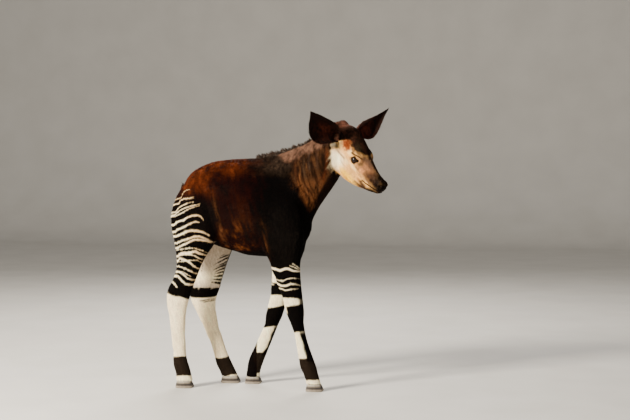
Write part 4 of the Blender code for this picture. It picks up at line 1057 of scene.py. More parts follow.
def paint_neck(p, h, seed):
    fine = streaks(p, 0.0055, 0.060, seed + 5, slope=0.25)
    broad = streaks(p, 0.016, 0.120, seed + 6, slope=0.25)
    tone = np.tile(shade(40, 22, 12), (len(p), 1))
    tone = blend(tone, shade(118, 74, 44), np.clip(0.5 * broad + 0.9 * fine + 0.10, 0, 1))
    low = (1 - ease(p[:, 2], 0.93, 1.00)) * ease(p[:, 2], 0.80, 0.86)
    tone = blend(tone, shade(146, 90, 46), low * np.clip(0.66 + 0.6 * broad + 0.8 * fine, 0, 1) * 0.95)
    spots = p[:, [0, 2]] + np.column_stack([noise(p, 0.03, seed) * 0.003 + 0.0012 * fine, 0 * fine])
    for colour, half, *route in NECK_STREAKS:
        away, along = line_distance(spots, route)
        strength = (1 - ease(away, half * 0.1, half * 1.5)) * (0.60 + 0.50 * fine + 0.2 * broad)
        tone = blend(tone, colour, strength * ease(along, 0.0, 0.22) * (1 - ease(along, 0.80, 1.0)))
    # Black lines down the furrows: painted shade in the creases of the skin.
    for route in NECK_FURROWS:
        away, along = line_distance(spots, route)
        tone = blend(tone, BLACK, (1 - ease(away, 0.0012, 0.0045)) * 0.75 * ease(along, 0.02, 0.2))
    # A greyish band along the nape, below the mane: painted sheen.
    nape_line = np.interp(p[:, 0], (0.02, 0.10, 0.20, 0.30, 0.40), (1.02, 1.035, 1.062, 1.110, 1.155))
    nape = ease(p[:, 2] + 0.012 * broad - nape_line, -0.020, 0.008)
    tone = blend(tone, shade(154, 119, 97), nape * np.clip(0.62 + 0.55 * fine + 0.2 * broad, 0, 1))
    throat = np.interp(p[:, 2], (0.80, 0.85, 0.90, 0.95, 1.00), (0.285, 0.318, 0.335, 0.362, 0.395))
    return blend(tone, shade(20, 13, 10), ease(p[:, 0] - throat, -0.010, 0.004) * 0.95)


def paint(places, normals, region, seed=3):
    """The colour of the coat at places on the hide, in linear light."""
    p, h = calf(places), head_axes(places)
    tone = paint_trunk(p, normals, seed)
    at = REGIONS.index
    neck = paint_neck(p, h, seed)
    front_of = p[:, 0] - np.interp(p[:, 2], (0.80, 0.90, 0.98, 1.04, 1.10), (0.30, 0.262, 0.225, 0.21, 0.10))
    tone = blend(tone, neck, ease(front_of + 0.012 * noise(p, 0.03, seed), -0.012, 0.014) * ease(p[:, 2], 0.80, 0.86))
    side = np.sign(p[:, 1])
    for hand, pair in ((-1, ("foreleg_right", "hindleg_right")), (1, ("foreleg_left", "hindleg_left"))):
        fore, hind = pair
        mine = (side == hand) & (p[:, 0] > 0.02) & (p[:, 2] < 0.62) & (region != at("head"))
        mine = mine & (region == at(fore))
        tone[mine] = paint_leg(fore, places[mine], tone[mine], seed + hand)
        tone[mine] = paint_fore_top(fore, places[mine], tone[mine], seed + hand)
        mine = (side == hand) & (p[:, 0] < -0.04) & (p[:, 2] < 0.97) & (region != at("tail"))
        sub = tone[mine]
        outward = normals[mine, 1] * hand
        rear_facing = -normals[mine, 0]
        inner = ease(-outward, 0.15, 0.55) * (1 - ease(rear_facing, 0.35, 0.75)) * (1 - ease(places[mine, 2], 0.66, 0.70))
        ground = blend(sub, BLACK, (1 - ease(p[mine, 2], 0.85, 0.93)) * ease(-p[mine, 0], 0.15, 0.22) * 0.93)
        lower = (1 - ease(p[mine, 2], 0.66, 0.72)) * (region[mine] == at(hind))
        ground = blend(ground, BLACK, lower * 0.95)
        cover = stripe_cover(p[mine], normals[mine], hand, seed + 7 * hand)
        brownish = ease(p[mine, 2], 0.80, 0.90)
        tan = np.maximum(brownish * 0.75, 0.70 * ease(p[mine, 0] + 0.03 * noise(p[mine], 0.03, seed + 2), -0.285, -0.215))
        pale = np.array(BONE) + (np.array((0.62, 0.37, 0.16)) - BONE) * tan[:, None]
        ground = ground + (pale - ground) * cover[:, None]
        # The inside of the thigh is white in a band 0.505 m high and grey-beige elsewhere: painted shade, which falls
        # up under the belly.
        unshaded_band = np.exp(-(((places[mine, 2] - 0.505) / 0.032) ** 2))
        lining = (0.52, 0.42, 0.31) + (MILK - (0.52, 0.42, 0.31)) * unshaded_band[:, None]
        ground = ground + (lining - ground) * (inner * (region[mine] == at(hind)))[:, None]
        ground = blend(ground, BLACK, thigh_points(hind, places[mine], seed) * inner * (region[mine] == at(hind)))
        is_leg = region[mine] == at(hind)
        ground[is_leg] = paint_hind_low(hind, places[mine][is_leg], ground[is_leg], seed + hand)
        tone[mine] = ground
    on_head = region == at("head")
    tone[on_head] = paint_head(h[on_head], tone[on_head], seed)
    for name in ("ear_left", "ear_right"):
        mine = region == at(name)
        along, across, hollow = ear_frame(name, places[mine])
        down = np.sign(-EAR_BREADTHS[name][2])
        fleck = np.clip(0.60 + 0.8 * streaks(p[mine], 0.006, 0.03, seed + 9), 0, 1)
        inside = normals[mine] @ hollow > 0
        lining = np.exp(-((along - 0.30) / 0.20) ** 2 - ((across * down - 0.012) / 0.026) ** 2) * inside
        colour = blend(np.tile(shade(20, 13, 11), (mine.sum(), 1)), shade(112, 50, 32), fleck * (0.12 + 0.80 * lining))
        if name == "ear_left":
            upper = ease(-across * down, 0.008, 0.026) * (1 - ease(along, 0.75, 1.0))
            colour = blend(colour, shade(126, 92, 80), upper * (0.4 + 0.5 * fleck))
            colour = blend(colour, shade(118, 48, 30), (1 - ease(along, 0.10, 0.42)) * fleck * 0.7)
        tone[mine] = colour
    tail = region == at("tail")
    tone[tail] = blend(np.tile(UMBER * 0.7, (tail.sum(), 1)), RUST, np.clip(noise(p[tail], 0.02, seed), 0, 1) * 0.5)
    hair = streaks(p, 0.0035, 0.022, seed + 11)
    return np.clip(tone * (1 + 0.22 * hair)[:, None], 0.0015, 0.95)


THIGH_POINTS = [
    # height at the front edge of the leg, height of the tip, where the tip is, half thickness
    (0.626, 0.602, 0.50, 0.0066), (0.613, 0.586, 0.38, 0.0070), (0.598, 0.560, 0.30, 0.0074),
    (0.578, 0.549, 0.42, 0.0056), (0.563, 0.538, 0.32, 0.0076), (0.545, 0.528, 0.42, 0.0064),
    (0.528, 0.520, 0.40, 0.0062), (0.510, 0.508, 0.36, 0.0078), (0.491, 0.495, 0.34, 0.0078),
    (0.474, 0.481, 0.30, 0.0080),
]


def thigh_points(name, places, seed):
    """Black points that run in over the pale inside of the thigh from its front and rear edges."""
    front, outer = round_leg(name, places)
    cover = np.zeros(len(front))
    z = places[:, 2] + noise(places, 0.02, seed) * 0.0016
    for edge, tip, reach, half in THIGH_POINTS:
        for way, end in ((front, reach), (-front, reach + 0.45)):
            share = np.clip((way - end) / (0.88 - end), 0, 1)
            away = abs(z - tip - (edge - tip) * share)
            width = half * share**0.70 - 0.0006
            cover = np.maximum(cover, 1 - ease(away, width - 0.0009, width + 0.0009))
    return cover * (1 - ease(places[:, 2], 0.606, 0.620))


def paint_hind_low(name, places, tone, seed):
    """Only below the last stripe do the hind leg's own bands begin."""
    banded = paint_leg(name, places, tone, seed)
    return np.where((places[:, 2] < BANDS[name][0][1] + 0.045)[:, None], banded, tone)


tones = paint(places, normals, region)
write(skin.data, "tone", tones, "FLOAT_VECTOR")
print("painted the skin; mean tone", tones.mean(0).round(4))

# %% [markdown]
# ## Hide and coat material
# Hide and tufts share one finish. The colour comes from the painted tone. On a tuft it is a little
# darker at the root, painted shade for the shade deep among the tufts, and warmer at the tip, and
# fine lines across the tuft break it into hairs. A short healthy coat shines softly, more on dark
# hair than on white.

# %% One material for hide and coat
def new_material(name):
    material = bpy.data.materials.new(name)
    material.use_nodes = True
    graph = Graph(material.node_tree)
    shader = next(n for n in material.node_tree.nodes if n.type == "BSDF_PRINCIPLED")
    return material, graph, shader


def connect(graph, shader, links=None, **constants):
    for name, wire in (links or {}).items():
        graph.tree.links.new(wire.socket, shader.inputs[name])
    for name, value in constants.items():
        shader.inputs[name.replace("_", " ")].default_value = value


def attribute(graph, name, output=2):
    """A mesh attribute: output 0 is a colour, 1 a vector, 2 a number."""
    return graph.node("ShaderNodeAttribute", {"attribute_name": name}, output=output)


def coat_material():
    material, g, shader = new_material("coat")
    tone = attribute(g, "tone", 1)
    along = attribute(g, "along")
    place = g.node("ShaderNodeTexCoord", output=3)
    speck = g.node("ShaderNodeTexNoise", values={"Vector": place, "Scale": 900.0, "Detail": 2.0})
    wave = g.node("ShaderNodeTexNoise", values={"Vector": place, "Scale": 95.0, "Detail": 3.0})
    brightness = g.vector("DOT_PRODUCT", tone, (0.3, 0.5, 0.2))
    brightness = Wire(g, brightness.socket.node.outputs["Value"])
    # the tuft's lightness: painted shade at its root, lighter towards its tip, with fine variation from hair to hair
    light = 0.76 + 0.40 * along + (0.34 * (speck - 0.5) + 0.34 * (wave - 0.5)) * (1 - 0.6 * brightness)
    level = g.node("ShaderNodeCombineXYZ", values={0: light, 1: light, 2: light})
    colour = g.vector("MULTIPLY", tone, level)
    rough = 0.42 + 0.30 * brightness + 0.12 * (wave - 0.5)
    bump = g.node("ShaderNodeBump", values={"Strength": 0.25, "Distance": 0.0004, "Height": speck})
    links = {"Base Color": colour, "Roughness": rough, "Normal": bump}
    connect(g, shader, links, Specular_IOR_Level=0.016, Specular_Tint=(1.0, 0.76, 0.55, 1))
    return material


COAT = coat_material()

# %% [markdown]
# ## The coat
# Hair on an okapi is two or three centimetres long at most and lies flat, so from any distance it
# is seen as small overlapping tufts. Each tuft here is a closed blade of six triangles: sunk at
# its root, broadest a third of the way on, with a ridge and a fine tip. A Geometry Nodes tree
# scatters roots evenly over one region, turns each blade to the lie of the hair with a little
# disorder, scales it and makes it real mesh. The tree is run once for each region.

# %% The blades
def blade(name, bend, lift):
    """A tuft of hair, 1 long, 1 wide and 1 high, lying along x."""
    spots = [(0, 0, -0.55), (0.36, -0.5, -0.05), (0.36, 0.5, -0.05), (0.45, bend * 0.3, 0.62), (1, bend, lift)]
    faces = [(0, 1, 3), (0, 3, 2), (1, 4, 3), (3, 4, 2), (0, 2, 1), (1, 2, 4)]
    mesh = bpy.data.meshes.new(name)
    mesh.from_pydata(spots, [], faces)
    write(mesh, "along", [0.0, 0.36, 0.36, 0.5, 1.0])
    made = bpy.data.objects.new(name, mesh)
    BLADES.objects.link(made)
    return made


BLADES = bpy.data.collections.new("blades")
for k, (bend, lift) in enumerate(((-0.28, 0.10), (0.05, 0.38), (0.32, 0.05))):
    blade(f"blade_{k}", bend, lift)
BLADE_POINTS = 5


# %% The tree that lays the coat
def interface(tree, inputs):
    for name, kind in inputs:
        tree.interface.new_socket(name, in_out="INPUT", socket_type=kind)
    tree.interface.new_socket("Geometry", in_out="OUTPUT", socket_type="NodeSocketGeometry")


def set_inputs(modifier, **values):
    for item in modifier.node_group.interface.items_tree:
        if item.in_out == "INPUT" and item.name in values:
            modifier[item.identifier] = values[item.name]


def named(g, name, kind="FLOAT"):
    return g.node("GeometryNodeInputNamedAttribute", {"data_type": kind}, {"Name": name})


def random_value(g, low, high, seed):
    values = {"Min": low, "Max": high, "Seed": seed}
    return g.node("FunctionNodeRandomValue", {"data_type": "FLOAT"}, values)


def coat_tree():
    tree = bpy.data.node_groups.new("lay coat", "GeometryNodeTree")
    interface(tree, [("Geometry", "NodeSocketGeometry"), ("Zone", "NodeSocketInt"), ("Spacing", "NodeSocketFloat"),
                     ("Length", "NodeSocketFloat"), ("Width", "NodeSocketFloat"), ("Height", "NodeSocketFloat"),
                     ("Disorder", "NodeSocketFloat"), ("Blades", "NodeSocketCollection"),
                     ("Material", "NodeSocketMaterial")])
    g = Graph(tree)
    given = g.node("NodeGroupInput")
    zone = g.node("FunctionNodeCompare", {"data_type": "INT", "operation": "EQUAL"},
                  {"A": named(g, "zone", "INT"), "B": given.output("Zone")})
    spread = {"Mesh": given, "Selection": zone, "Distance Min": given.output("Spacing"), "Density Max": 4e5,
              "Density Factor": named(g, "dense"), "Seed": SEED}
    points = g.node("GeometryNodeDistributePointsOnFaces", {"distribute_method": "POISSON"}, spread)
    normal = points.output("Normal")
    disorder = given.output("Disorder")
    stray = g.node("FunctionNodeRandomValue", {"data_type": "FLOAT_VECTOR"},
                   {"Min": (-1, -1, -1), "Max": (1, 1, 1), "Seed": SEED + 1})
    swirl = g.node("ShaderNodeTexNoise", values={"Vector": g.node("GeometryNodeInputPosition"), "Scale": 34.0}, output=1)
    swirl = g.vector("SUBTRACT", swirl, (0.5, 0.5, 0.5))
    sway = g.node("ShaderNodeVectorMath", {"operation": "SCALE"}, {"Vector": stray, "Scale": disorder})
    swirl = g.node("ShaderNodeVectorMath", {"operation": "SCALE"}, {"Vector": swirl, "Scale": disorder * 4.0})
    lie = g.vector("ADD", g.vector("ADD", named(g, "lie", "FLOAT_VECTOR"), sway), swirl)
    turn = g.node("FunctionNodeAxesToRotation", {"primary_axis": "Z", "secondary_axis": "X"},
                  {"Primary Axis": normal, "Secondary Axis": lie})
    rise = named(g, "lift") * random_value(g, -1.5, -0.4, SEED + 2)
    tilt = g.node("ShaderNodeCombineXYZ", values={0: random_value(g, -0.25, 0.25, SEED + 3), 1: rise})
    turn = g.node("FunctionNodeRotateRotation", {"rotation_space": "LOCAL"}, {"Rotation": turn, "Rotate By": tilt})
    size = random_value(g, 0.72, 1.25, SEED + 4)
    long = given.output("Length") * named(g, "long") * size
    wide = given.output("Width") * named(g, "wide") * random_value(g, 0.8, 1.2, SEED + 5)
    scale = g.node("ShaderNodeCombineXYZ", values={0: long, 1: wide, 2: given.output("Height") * size})
    keep = {"data_type": "FLOAT_VECTOR", "domain": "POINT"}
    kept = g.node("GeometryNodeStoreNamedAttribute", keep,
                  {"Geometry": points, "Name": "root", "Value": g.node("GeometryNodeInputPosition")})
    kept = g.node("GeometryNodeStoreNamedAttribute", keep, {"Geometry": kept, "Name": "facing", "Value": normal})
    tufts = g.node("GeometryNodeCollectionInfo", {}, {"Collection": given.output("Blades"), "Separate Children": True})
    laid = g.node("GeometryNodeInstanceOnPoints", values={"Points": kept, "Instance": tufts, "Pick Instance": True,
                                                         "Rotation": turn, "Scale": scale})
    real = g.node("GeometryNodeRealizeInstances", values={"Geometry": laid})
    done = g.node("GeometryNodeSetMaterial", values={"Geometry": real, "Material": given.output("Material")})
    g.node("NodeGroupOutput", values={"Geometry": done})
    return tree


# %% Zones: which part of the hide each piece of coat covers
ZONES = [
    # name, slot, spacing, length, width, height, disorder
    ("face", "face_coat", 0.00175, 0.0056, 0.0016, 0.0006, 0.12),
    ("ears", "ear_coat", 0.00205, 0.0078, 0.0018, 0.0006, 0.14),
    ("neck", "dark_coat", 0.00235, 0.0125, 0.0021, 0.0010, 0.15),
    ("shoulder", "dark_coat", 0.0026, 0.0130, 0.0023, 0.0010, 0.13),
    ("ribs", "dark_coat", 0.0026, 0.0130, 0.0023, 0.0010, 0.13),
    ("flank", "dark_coat", 0.0026, 0.0130, 0.0023, 0.0010, 0.13),
    ("croup", "striped_coat", 0.0022, 0.0088, 0.0019, 0.0009, 0.10),
    ("foreleg_right", "striped_coat", 0.0021, 0.0062, 0.0018, 0.0008, 0.10),
    ("foreleg_left", "striped_coat", 0.0021, 0.0062, 0.0018, 0.0008, 0.10),
    ("hindleg_right", "striped_coat", 0.0022, 0.0068, 0.0018, 0.0008, 0.10),
    ("hindleg_left", "striped_coat", 0.0022, 0.0068, 0.0018, 0.0008, 0.10),
    ("tail", "dark_coat", 0.0024, 0.0140, 0.0020, 0.0010, 0.12),
]
TRUNK_CUTS = (0.16, 0.00, -0.17)  # x, between shoulder, ribs, flank and croup


def zone_of(places, region):
    names = [z[0] for z in ZONES]
    x = calf(places)[:, 0]
    trunk = np.select([x > TRUNK_CUTS[0], x > TRUNK_CUTS[1], x > TRUNK_CUTS[2]], [3, 4, 5], 6)
    zone = np.where(region == REGIONS.index("torso"), trunk, -1)
    zone[region == REGIONS.index("head")] = 0
    zone[(region == 1) | (region == 2)] = 1
    zone[region == REGIONS.index("neck")] = 2
    for name in [*LEGS, "tail"]:
        zone[region == REGIONS.index(name)] = names.index(name)
    return zone


def face_middles(mesh):
    flat = np.empty(len(mesh.polygons) * 3, np.float32)
    mesh.polygons.foreach_get("center", flat)
    return flat.reshape(-1, 3).astype(float)


h = head_axes(places)
opening = np.min([np.where(lid_frame(h, hand)[3] > 0, lid_frame(h, hand)[2], 9) for hand in (-1, 1)], axis=0)
mouth_away, mouth_along = line_distance(h[:, [0, 2]], MOUTH)
muzzle = ease(h[:, 0], 0.345, 0.375) * (region == 0)
small = np.maximum(1 - ease(opening, 1.1, 2.6), muzzle)
low_leg = 1 - ease(calf(places)[:, 2], 0.10, 0.20)
cheek_edge = (1 - ease(abs(h[:, 0] - np.interp(h[:, 2], *CHEEK_REAR)), 0.006, 0.022)) * (region == 0) * (h[:, 2] < -0.05)
write(skin.data, "dense", ease(opening, 1.02, 1.12) * (1 - 0.9 * ease(h[:, 0], 0.380, 0.392) * (region == 0)))
write(skin.data, "long", (1 - 0.55 * small) * (1 - 0.2 * low_leg) * (1 + 0.45 * rim) * (1 - 0.5 * cheek_edge))
write(skin.data, "wide", 1 - 0.40 * small)
write(skin.data, "lift", np.where(region == REGIONS.index("neck"), 0.16, 0.11))
middles = face_middles(skin.data)
write(skin.data, "zone", zone_of(middles, find_region(middles)), "INT", "FACE")

TREE = coat_tree()


PATCH = 0.0015  # half a tuft's patch on its map
BLADE_PATCH = np.array([(-1, 0), (-0.3, -1), (-0.3, 1), (0, 0.1), (1, 0)]) * PATCH


def turn_about(away, axis, zero):
    """Where places stand round an axis, from 0 to 1, counted from the far side of zero."""
    side = np.cross(axis, zero)
    return 0.5 + np.arctan2(away @ side, away @ zero) / (2 * math.pi)


def unwrap(places, facing, name):
    """The skin laid flat: each long part is slit along one side and unrolled, each ear is four leaves."""
    p, h = calf(places), head_axes(places)
    if name == "face":
        return np.column_stack([turn_about(h - (0, 0, -0.06), np.array((1.0, 0, 0)), np.array((0, 0, 1.0))),
                                np.interp(h[:, 0], (-0.10, 0.42), (0, 1))])
    if name == "ears":
        leaf = np.zeros((len(places), 2))
        for k, ear in enumerate(("ear_left", "ear_right")):
            mine = (p[:, 1] > ZERO_EARS) == (k == 0)
            along, across, hollow = ear_frame(ear, places[mine])
            column = 2 * k + (facing[mine] @ hollow > 0)
            leaf[mine] = np.column_stack([(column + 0.5 + np.clip(across / 0.13, -0.48, 0.48)) / 4, np.clip(along, -0.2, 1.1) / 1.4 + 0.15])
        return leaf
    if name in ("shoulder", "ribs", "flank", "croup", "neck", "mane"):
        way = np.array((0.62, 0, 0.78)) if name in ("neck", "mane") else np.array((1.0, 0, 0))
        middle_of = np.array((0.26, 0, 0.97)) if name in ("neck", "mane") else np.array((0, 0, 0.80))
        along = (p - middle_of) @ way
        round_it = turn_about(p - middle_of, way, np.cross(way, (0, 1.0, 0)))
        return np.column_stack([round_it, (along - along.min()) / np.ptp(along)])
    if name == "tail":
        axis = TAIL_LINE
        x, y = (np.interp(-places[:, 2], -axis[:, 2], axis[:, k]) for k in (0, 1))
    else:
        levels, rows = LEG_AXES[name]
        x, y = (np.interp(places[:, 2], levels, rows[:, k]) for k in (0, 1))
    away = np.column_stack([places[:, 0] - x, places[:, 1] - y, 0 * x])
    return np.column_stack([turn_about(away, np.array((0, 0, 1.0)), np.array((1.0, 0, 0))),
                            (places[:, 2] - places[:, 2].min()) / np.ptp(places[:, 2])])


def tuft_map(mesh, roots, facing, name, patch):
    """A UV map in which every tuft is a small patch at its root's place on the flat skin."""
    flat = unwrap(roots, facing, name) * (1 - 4 * PATCH) + 2 * PATCH
    spots = (np.clip(flat, 2 * PATCH, 1 - 2 * PATCH)[:, None] + patch[None]).reshape(-1, 2)
    corner = np.empty(len(mesh.loops), np.int32)
    mesh.loops.foreach_get("vertex_index", corner)
    held = mesh.uv_layers.new(name="OFBake")
    held.data.foreach_set("uv", spots[corner].astype(np.float32).ravel())


ZERO_EARS = calf([CROWN])[0, 1]


def lay_coat(number, name, slot, spacing, length, width, height, disorder):
    piece = add(f"coat_{name}", skin.data.copy())
    modifier = piece.modifiers.new("lay coat", "NODES")
    modifier.node_group = TREE
    set_inputs(modifier, Zone=number, Spacing=spacing, Length=length, Width=width, Height=height,
               Disorder=disorder, Blades=BLADES, Material=COAT)
    bake(piece)
    mesh = piece.data
    roots = read(mesh, "root")[::BLADE_POINTS].astype(float)
    facing = read(mesh, "facing")[::BLADE_POINTS].astype(float)
    owner = find_region(roots)
    run = points_of(mesh)[BLADE_POINTS - 1::BLADE_POINTS] - roots
    root, low, high = (paint(roots + run * share, facing, owner) for share in (0.12, 0.42, 0.94))
    own = np.random.default_rng(SEED + number).normal(1, 0.09, (len(roots), 1)).clip(0.7, 1.35)
    tone = np.stack([root, low, low, low, high], axis=1) * own[:, None]
    write(mesh, "tone", tone.reshape(-1, 3), "FLOAT_VECTOR")
    tuft_map(mesh, roots, facing, name, BLADE_PATCH)
    print(f"  {piece.name}: {len(roots)} tufts, {len(mesh.polygons)} triangles")
    return piece


started = time.time()
COATS = [lay_coat(number, *zone) for number, zone in enumerate(ZONES)]
print("coat laid in", round(time.time() - started, 1), "s")
print("coat:", sum(len(c.data.polygons) for c in COATS), "triangles")

# %% [markdown]
# ## The skin stands for the flesh
# The skin piece wears the same finish and takes the place of every solid of the flesh. Its own
# `along` value is low, so that where it shows between tufts it is darker: painted shade for the
# base of the coat in the shade of its tufts.

# %% Dress the skin
# along 0.10 darkens the skin as painted shade under the tufts
write(skin.data, "along", np.full(len(places), 0.10))
skin.data.materials.clear()
skin.data.materials.append(COAT)
skin.data.polygons.foreach_set("use_smooth", np.ones(len(skin.data.polygons), bool))
PIECES = [(skin, FLESH, "dark_coat")] + [(c, [], zone[1]) for c, zone in zip(COATS, ZONES)]

# %% [markdown]
# ## Eyes
# A calf's eye is nearly all dark brown iris with a wide level pupil, under a clear wet cornea. The
# ball is a fine sphere with closed poles; its material mixes iris and pupil by the place on the
# ball, and a sharp coat gives the glint.

# %% Eyeballs
def eye_material(hand):
    material, g, shader = new_material(f"eye_{hand}")
    place = g.node("ShaderNodeTexCoord", output=3)
    centre = tuple(EYES[hand])
    away = g.vector("SUBTRACT", place, centre)
    level = unit(LEVEL * 0.9 + np.array((0, 0, -0.25)))

    def along(axis):
        dot = g.vector("DOT_PRODUCT", away, tuple(np.asarray(axis) / EYE_RADIUS))
        return Wire(g, dot.socket.node.outputs["Value"])

    x, z = along(level), along(np.cross(level, LEFTWARD))
    pupil = g.step((x * x * 2.2 + z * z * 9.0), 0.55, 0.35)
    fibres = g.node("ShaderNodeTexNoise", values={"Vector": away, "Scale": 700.0})
    iris = g.mix(fibres, (0.006, 0.003, 0.002, 1), (0.020, 0.008, 0.004, 1))
    colour = g.mix(pupil, iris, (0.002, 0.002, 0.003, 1))
    connect(g, shader, {"Base Color": colour}, Roughness=0.30, Specular_IOR_Level=0.10,
            Coat_Weight=0.14, Coat_Roughness=0.03)
    return material


def ball(name, centre, radius, across=40, around=28):
    bm = bmesh.new()
    bmesh.ops.create_uvsphere(bm, u_segments=across, v_segments=around, radius=radius)
    bmesh.ops.translate(bm, verts=bm.verts, vec=Vector(centre))
    for face in bm.faces:
        face.smooth = True
    mesh = bpy.data.meshes.new(name)
    bm.to_mesh(mesh)
    bm.free()
    return add(name, mesh)


for hand, name in ((-1, "eye_right"), (1, "eye_left")):
    eyeball = ball(f"wet_{name}", EYES[hand], EYE_RADIUS)
    eyeball.data.materials.append(eye_material(hand))
    PIECES.append((eyeball, [name], "eye"))

# %% [markdown]
# ## Longer hair in locks
# The mane, the tail's tuft and the lashes are longer than a tuft of coat and bend on their way.
# Each lock is a slim closed blade with a ridge, made in arrays: a few stations along a curve,
# three corners at each, and one point at the tip. Thousands of locks are one mesh.

# %% Locks from arrays
def locks(name, map_name, roots, ways, ups, lengths, widths, bends, material, steps=4):
    """Closed tapering locks. Bends is how far each tip is carried aside from its straight way."""
    ways, ups = unit(ways), np.asarray(ups, float)
    sides = unit(np.cross(ways, ups))
    ups = np.cross(sides, ways)
    count = len(roots)
    share = np.linspace(0, 0.86, steps)
    breadth = np.interp(share, (0, 0.3, 0.86), (0.55, 1.0, 0.42))
    stations = []
    for t, b in zip(share, breadth):
        centre = roots + ways * (lengths * t)[:, None] + bends * t**2
        half = (widths * b / 2)[:, None]
        stations += [centre - sides * half, centre + sides * half, centre + ups * half * 0.55]
    tip = roots + ways * lengths[:, None] + bends
    spots = np.stack([*stations, tip], axis=1)
    each = 3 * steps + 1
    faces = [(0, 1, 2)]
    for k in range(steps - 1):
        low, high = 3 * k, 3 * k + 3
        for i, j in ((0, 2), (2, 1), (1, 0)):
            faces += [(low + i, low + j, high + j), (low + i, high + j, high + i)]
    last = 3 * (steps - 1)
    faces += [(last, last + 2, each - 1), (last + 2, last + 1, each - 1), (last + 1, last, each - 1)]
    every = (np.array(faces)[None] + (np.arange(count) * each)[:, None, None]).reshape(-1, 3)
    mesh = bpy.data.meshes.new(name)
    mesh.from_pydata(spots.reshape(-1, 3).tolist(), [], every.tolist())
    write(mesh, "root", np.repeat(roots, each, axis=0), "FLOAT_VECTOR")
    write(mesh, "facing", np.repeat(ups, each, axis=0), "FLOAT_VECTOR")
    write(mesh, "along", np.tile([*np.repeat(share, 3), 1.0], count))
    write(mesh, "own", np.repeat(np.random.default_rng(SEED).uniform(0, 1, count), each))
    mesh.materials.append(material)
    across = np.array([(t * 2 - 1, side) for t in share for side in (-1, 1, 0.1)] + [(1, 0)])
    tuft_map(mesh, roots, ups, map_name, across * PATCH)
    print(f"  {name}: {count} locks, {len(mesh.polygons)} triangles")
    return add(name, mesh)


def hair_material():
    """Dark hair that turns brown at its tips, in fine lines along each lock."""
    material, g, shader = new_material("long_hair")
    own, along = attribute(g, "own"), attribute(g, "along")
    place = g.node("ShaderNodeTexCoord", output=3)
    line = g.node("ShaderNodeTexNoise", values={"Vector": place, "Scale": 850.0, "Detail": 2.0})
    depth = 0.45 * own + 0.35 * along + 0.6 * (line - 0.5)
    colour = g.ramp(depth, [(0.0, (0.004, 0.0025, 0.002)), (0.45, (0.012, 0.006, 0.004)), (0.9, (0.050, 0.022, 0.012))])
    bump = g.node("ShaderNodeBump", values={"Strength": 0.3, "Distance": 0.0004, "Height": line})
    links = {"Base Color": colour, "Normal": bump, "Roughness": 0.40 + 0.2 * line}
    connect(g, shader, links, Specular_IOR_Level=0.30, Specular_Tint=(1.0, 0.78, 0.6, 1))
    return material


HAIR = hair_material()

# %% [markdown]
# The mane of a calf stands up in small soft clumps from the withers to the crown, tallest over the
# shoulder. Each clump is a fan of locks that share a tip. They stand on the skin's own crest, which
# is found by asking the skin for its highest point under the mane.

# %% Mane
MANE_CLUMP = 0.0062
MANE_HEIGHTS = ((-0.02, 0.03, 0.06, 0.12, 0.20, 0.26, 0.34, 0.42), (0.005, 0.012, 0.018, 0.021, 0.019, 0.013, 0.010, 0.009))


def crest(x):
    """The skin's ridge under the mane at x."""
    y = np.interp(x, MANE_LINE[:, 0], MANE_LINE[:, 1])
    away = np.hypot((SKIN_PLACES[:, 0] - x) / 0.007, (SKIN_PLACES[:, 1] - y) / 0.016)
    spots = SKIN_PLACES[away < max(1.0, np.sort(away)[8])]
    return spots[spots[:, 2].argmax()]


def make_mane():
    rng = np.random.default_rng(SEED)
    low, high = MANE_LINE[0, 0], MANE_LINE[-1, 0]
    stations = np.arange(low + 0.004, high - 0.004, 0.005)
    ridge = relaxed_line(np.array([crest(x) for x in stations]), 6)
    roots, ways, lengths, bends = [], [], [], []
    for middle_x in np.arange(low + 0.004, high - 0.004, MANE_CLUMP):
        height = np.interp(middle_x - ZERO[0], *MANE_HEIGHTS) * rng.uniform(0.80, 1.15)
        lean = rng.normal(-0.75, 0.22)
        aside = rng.normal(0, 0.16)
        foot = np.array([np.interp(middle_x, ridge[:, 0], ridge[:, k]) for k in range(3)])
        tip = foot + np.array((lean, aside, 1.0)) * height
        for _ in range(40):
            x = middle_x + rng.normal(0, MANE_CLUMP * 0.62)
            root = np.array([np.interp(x, ridge[:, 0], ridge[:, k]) for k in range(3)])
            root = root + (0, rng.normal(0, 0.0042), -0.0025)
            goal = root + (tip - root) * rng.uniform(0.55, 1.05) + rng.normal(0, 0.0020, 3)
            length = np.linalg.norm(goal - root)
            roots.append(root)
            ways.append((goal - root) / length + (0.18, 0, 0.1))
            lengths.append(length * 0.95)
            bends.append(np.array((-0.16, 0, -0.05)) * length)
    roots, ways = np.array(roots), np.array(ways)
    ups = np.cross(ways, (1.0, 0.3, 0.2)) + rng.normal(0, 0.5, roots.shape)
    widths = rng.uniform(0.0010, 0.0020, len(roots))
    return locks("mane_hair", "mane", roots, ways, ups, np.array(lengths), widths, np.array(bends), HAIR)


def relaxed_line(rows, rounds):
    for _ in range(rounds):
        rows[1:-1] = (rows[:-2] + 2 * rows[1:-1] + rows[2:]) / 4
    return rows


SKIN_PLACES = points_of(skin.data)
PIECES.append((make_mane(), ["mane"], "hair"))

# %% [markdown]
# The tail is a slim dock in short coat with a brush of long hair below. The brush is laid round the
# lower part of the dock, each lock leaving it at a small angle and falling back to hang straight.

# %% Brush of the tail
TAIL_LOCKS = 520


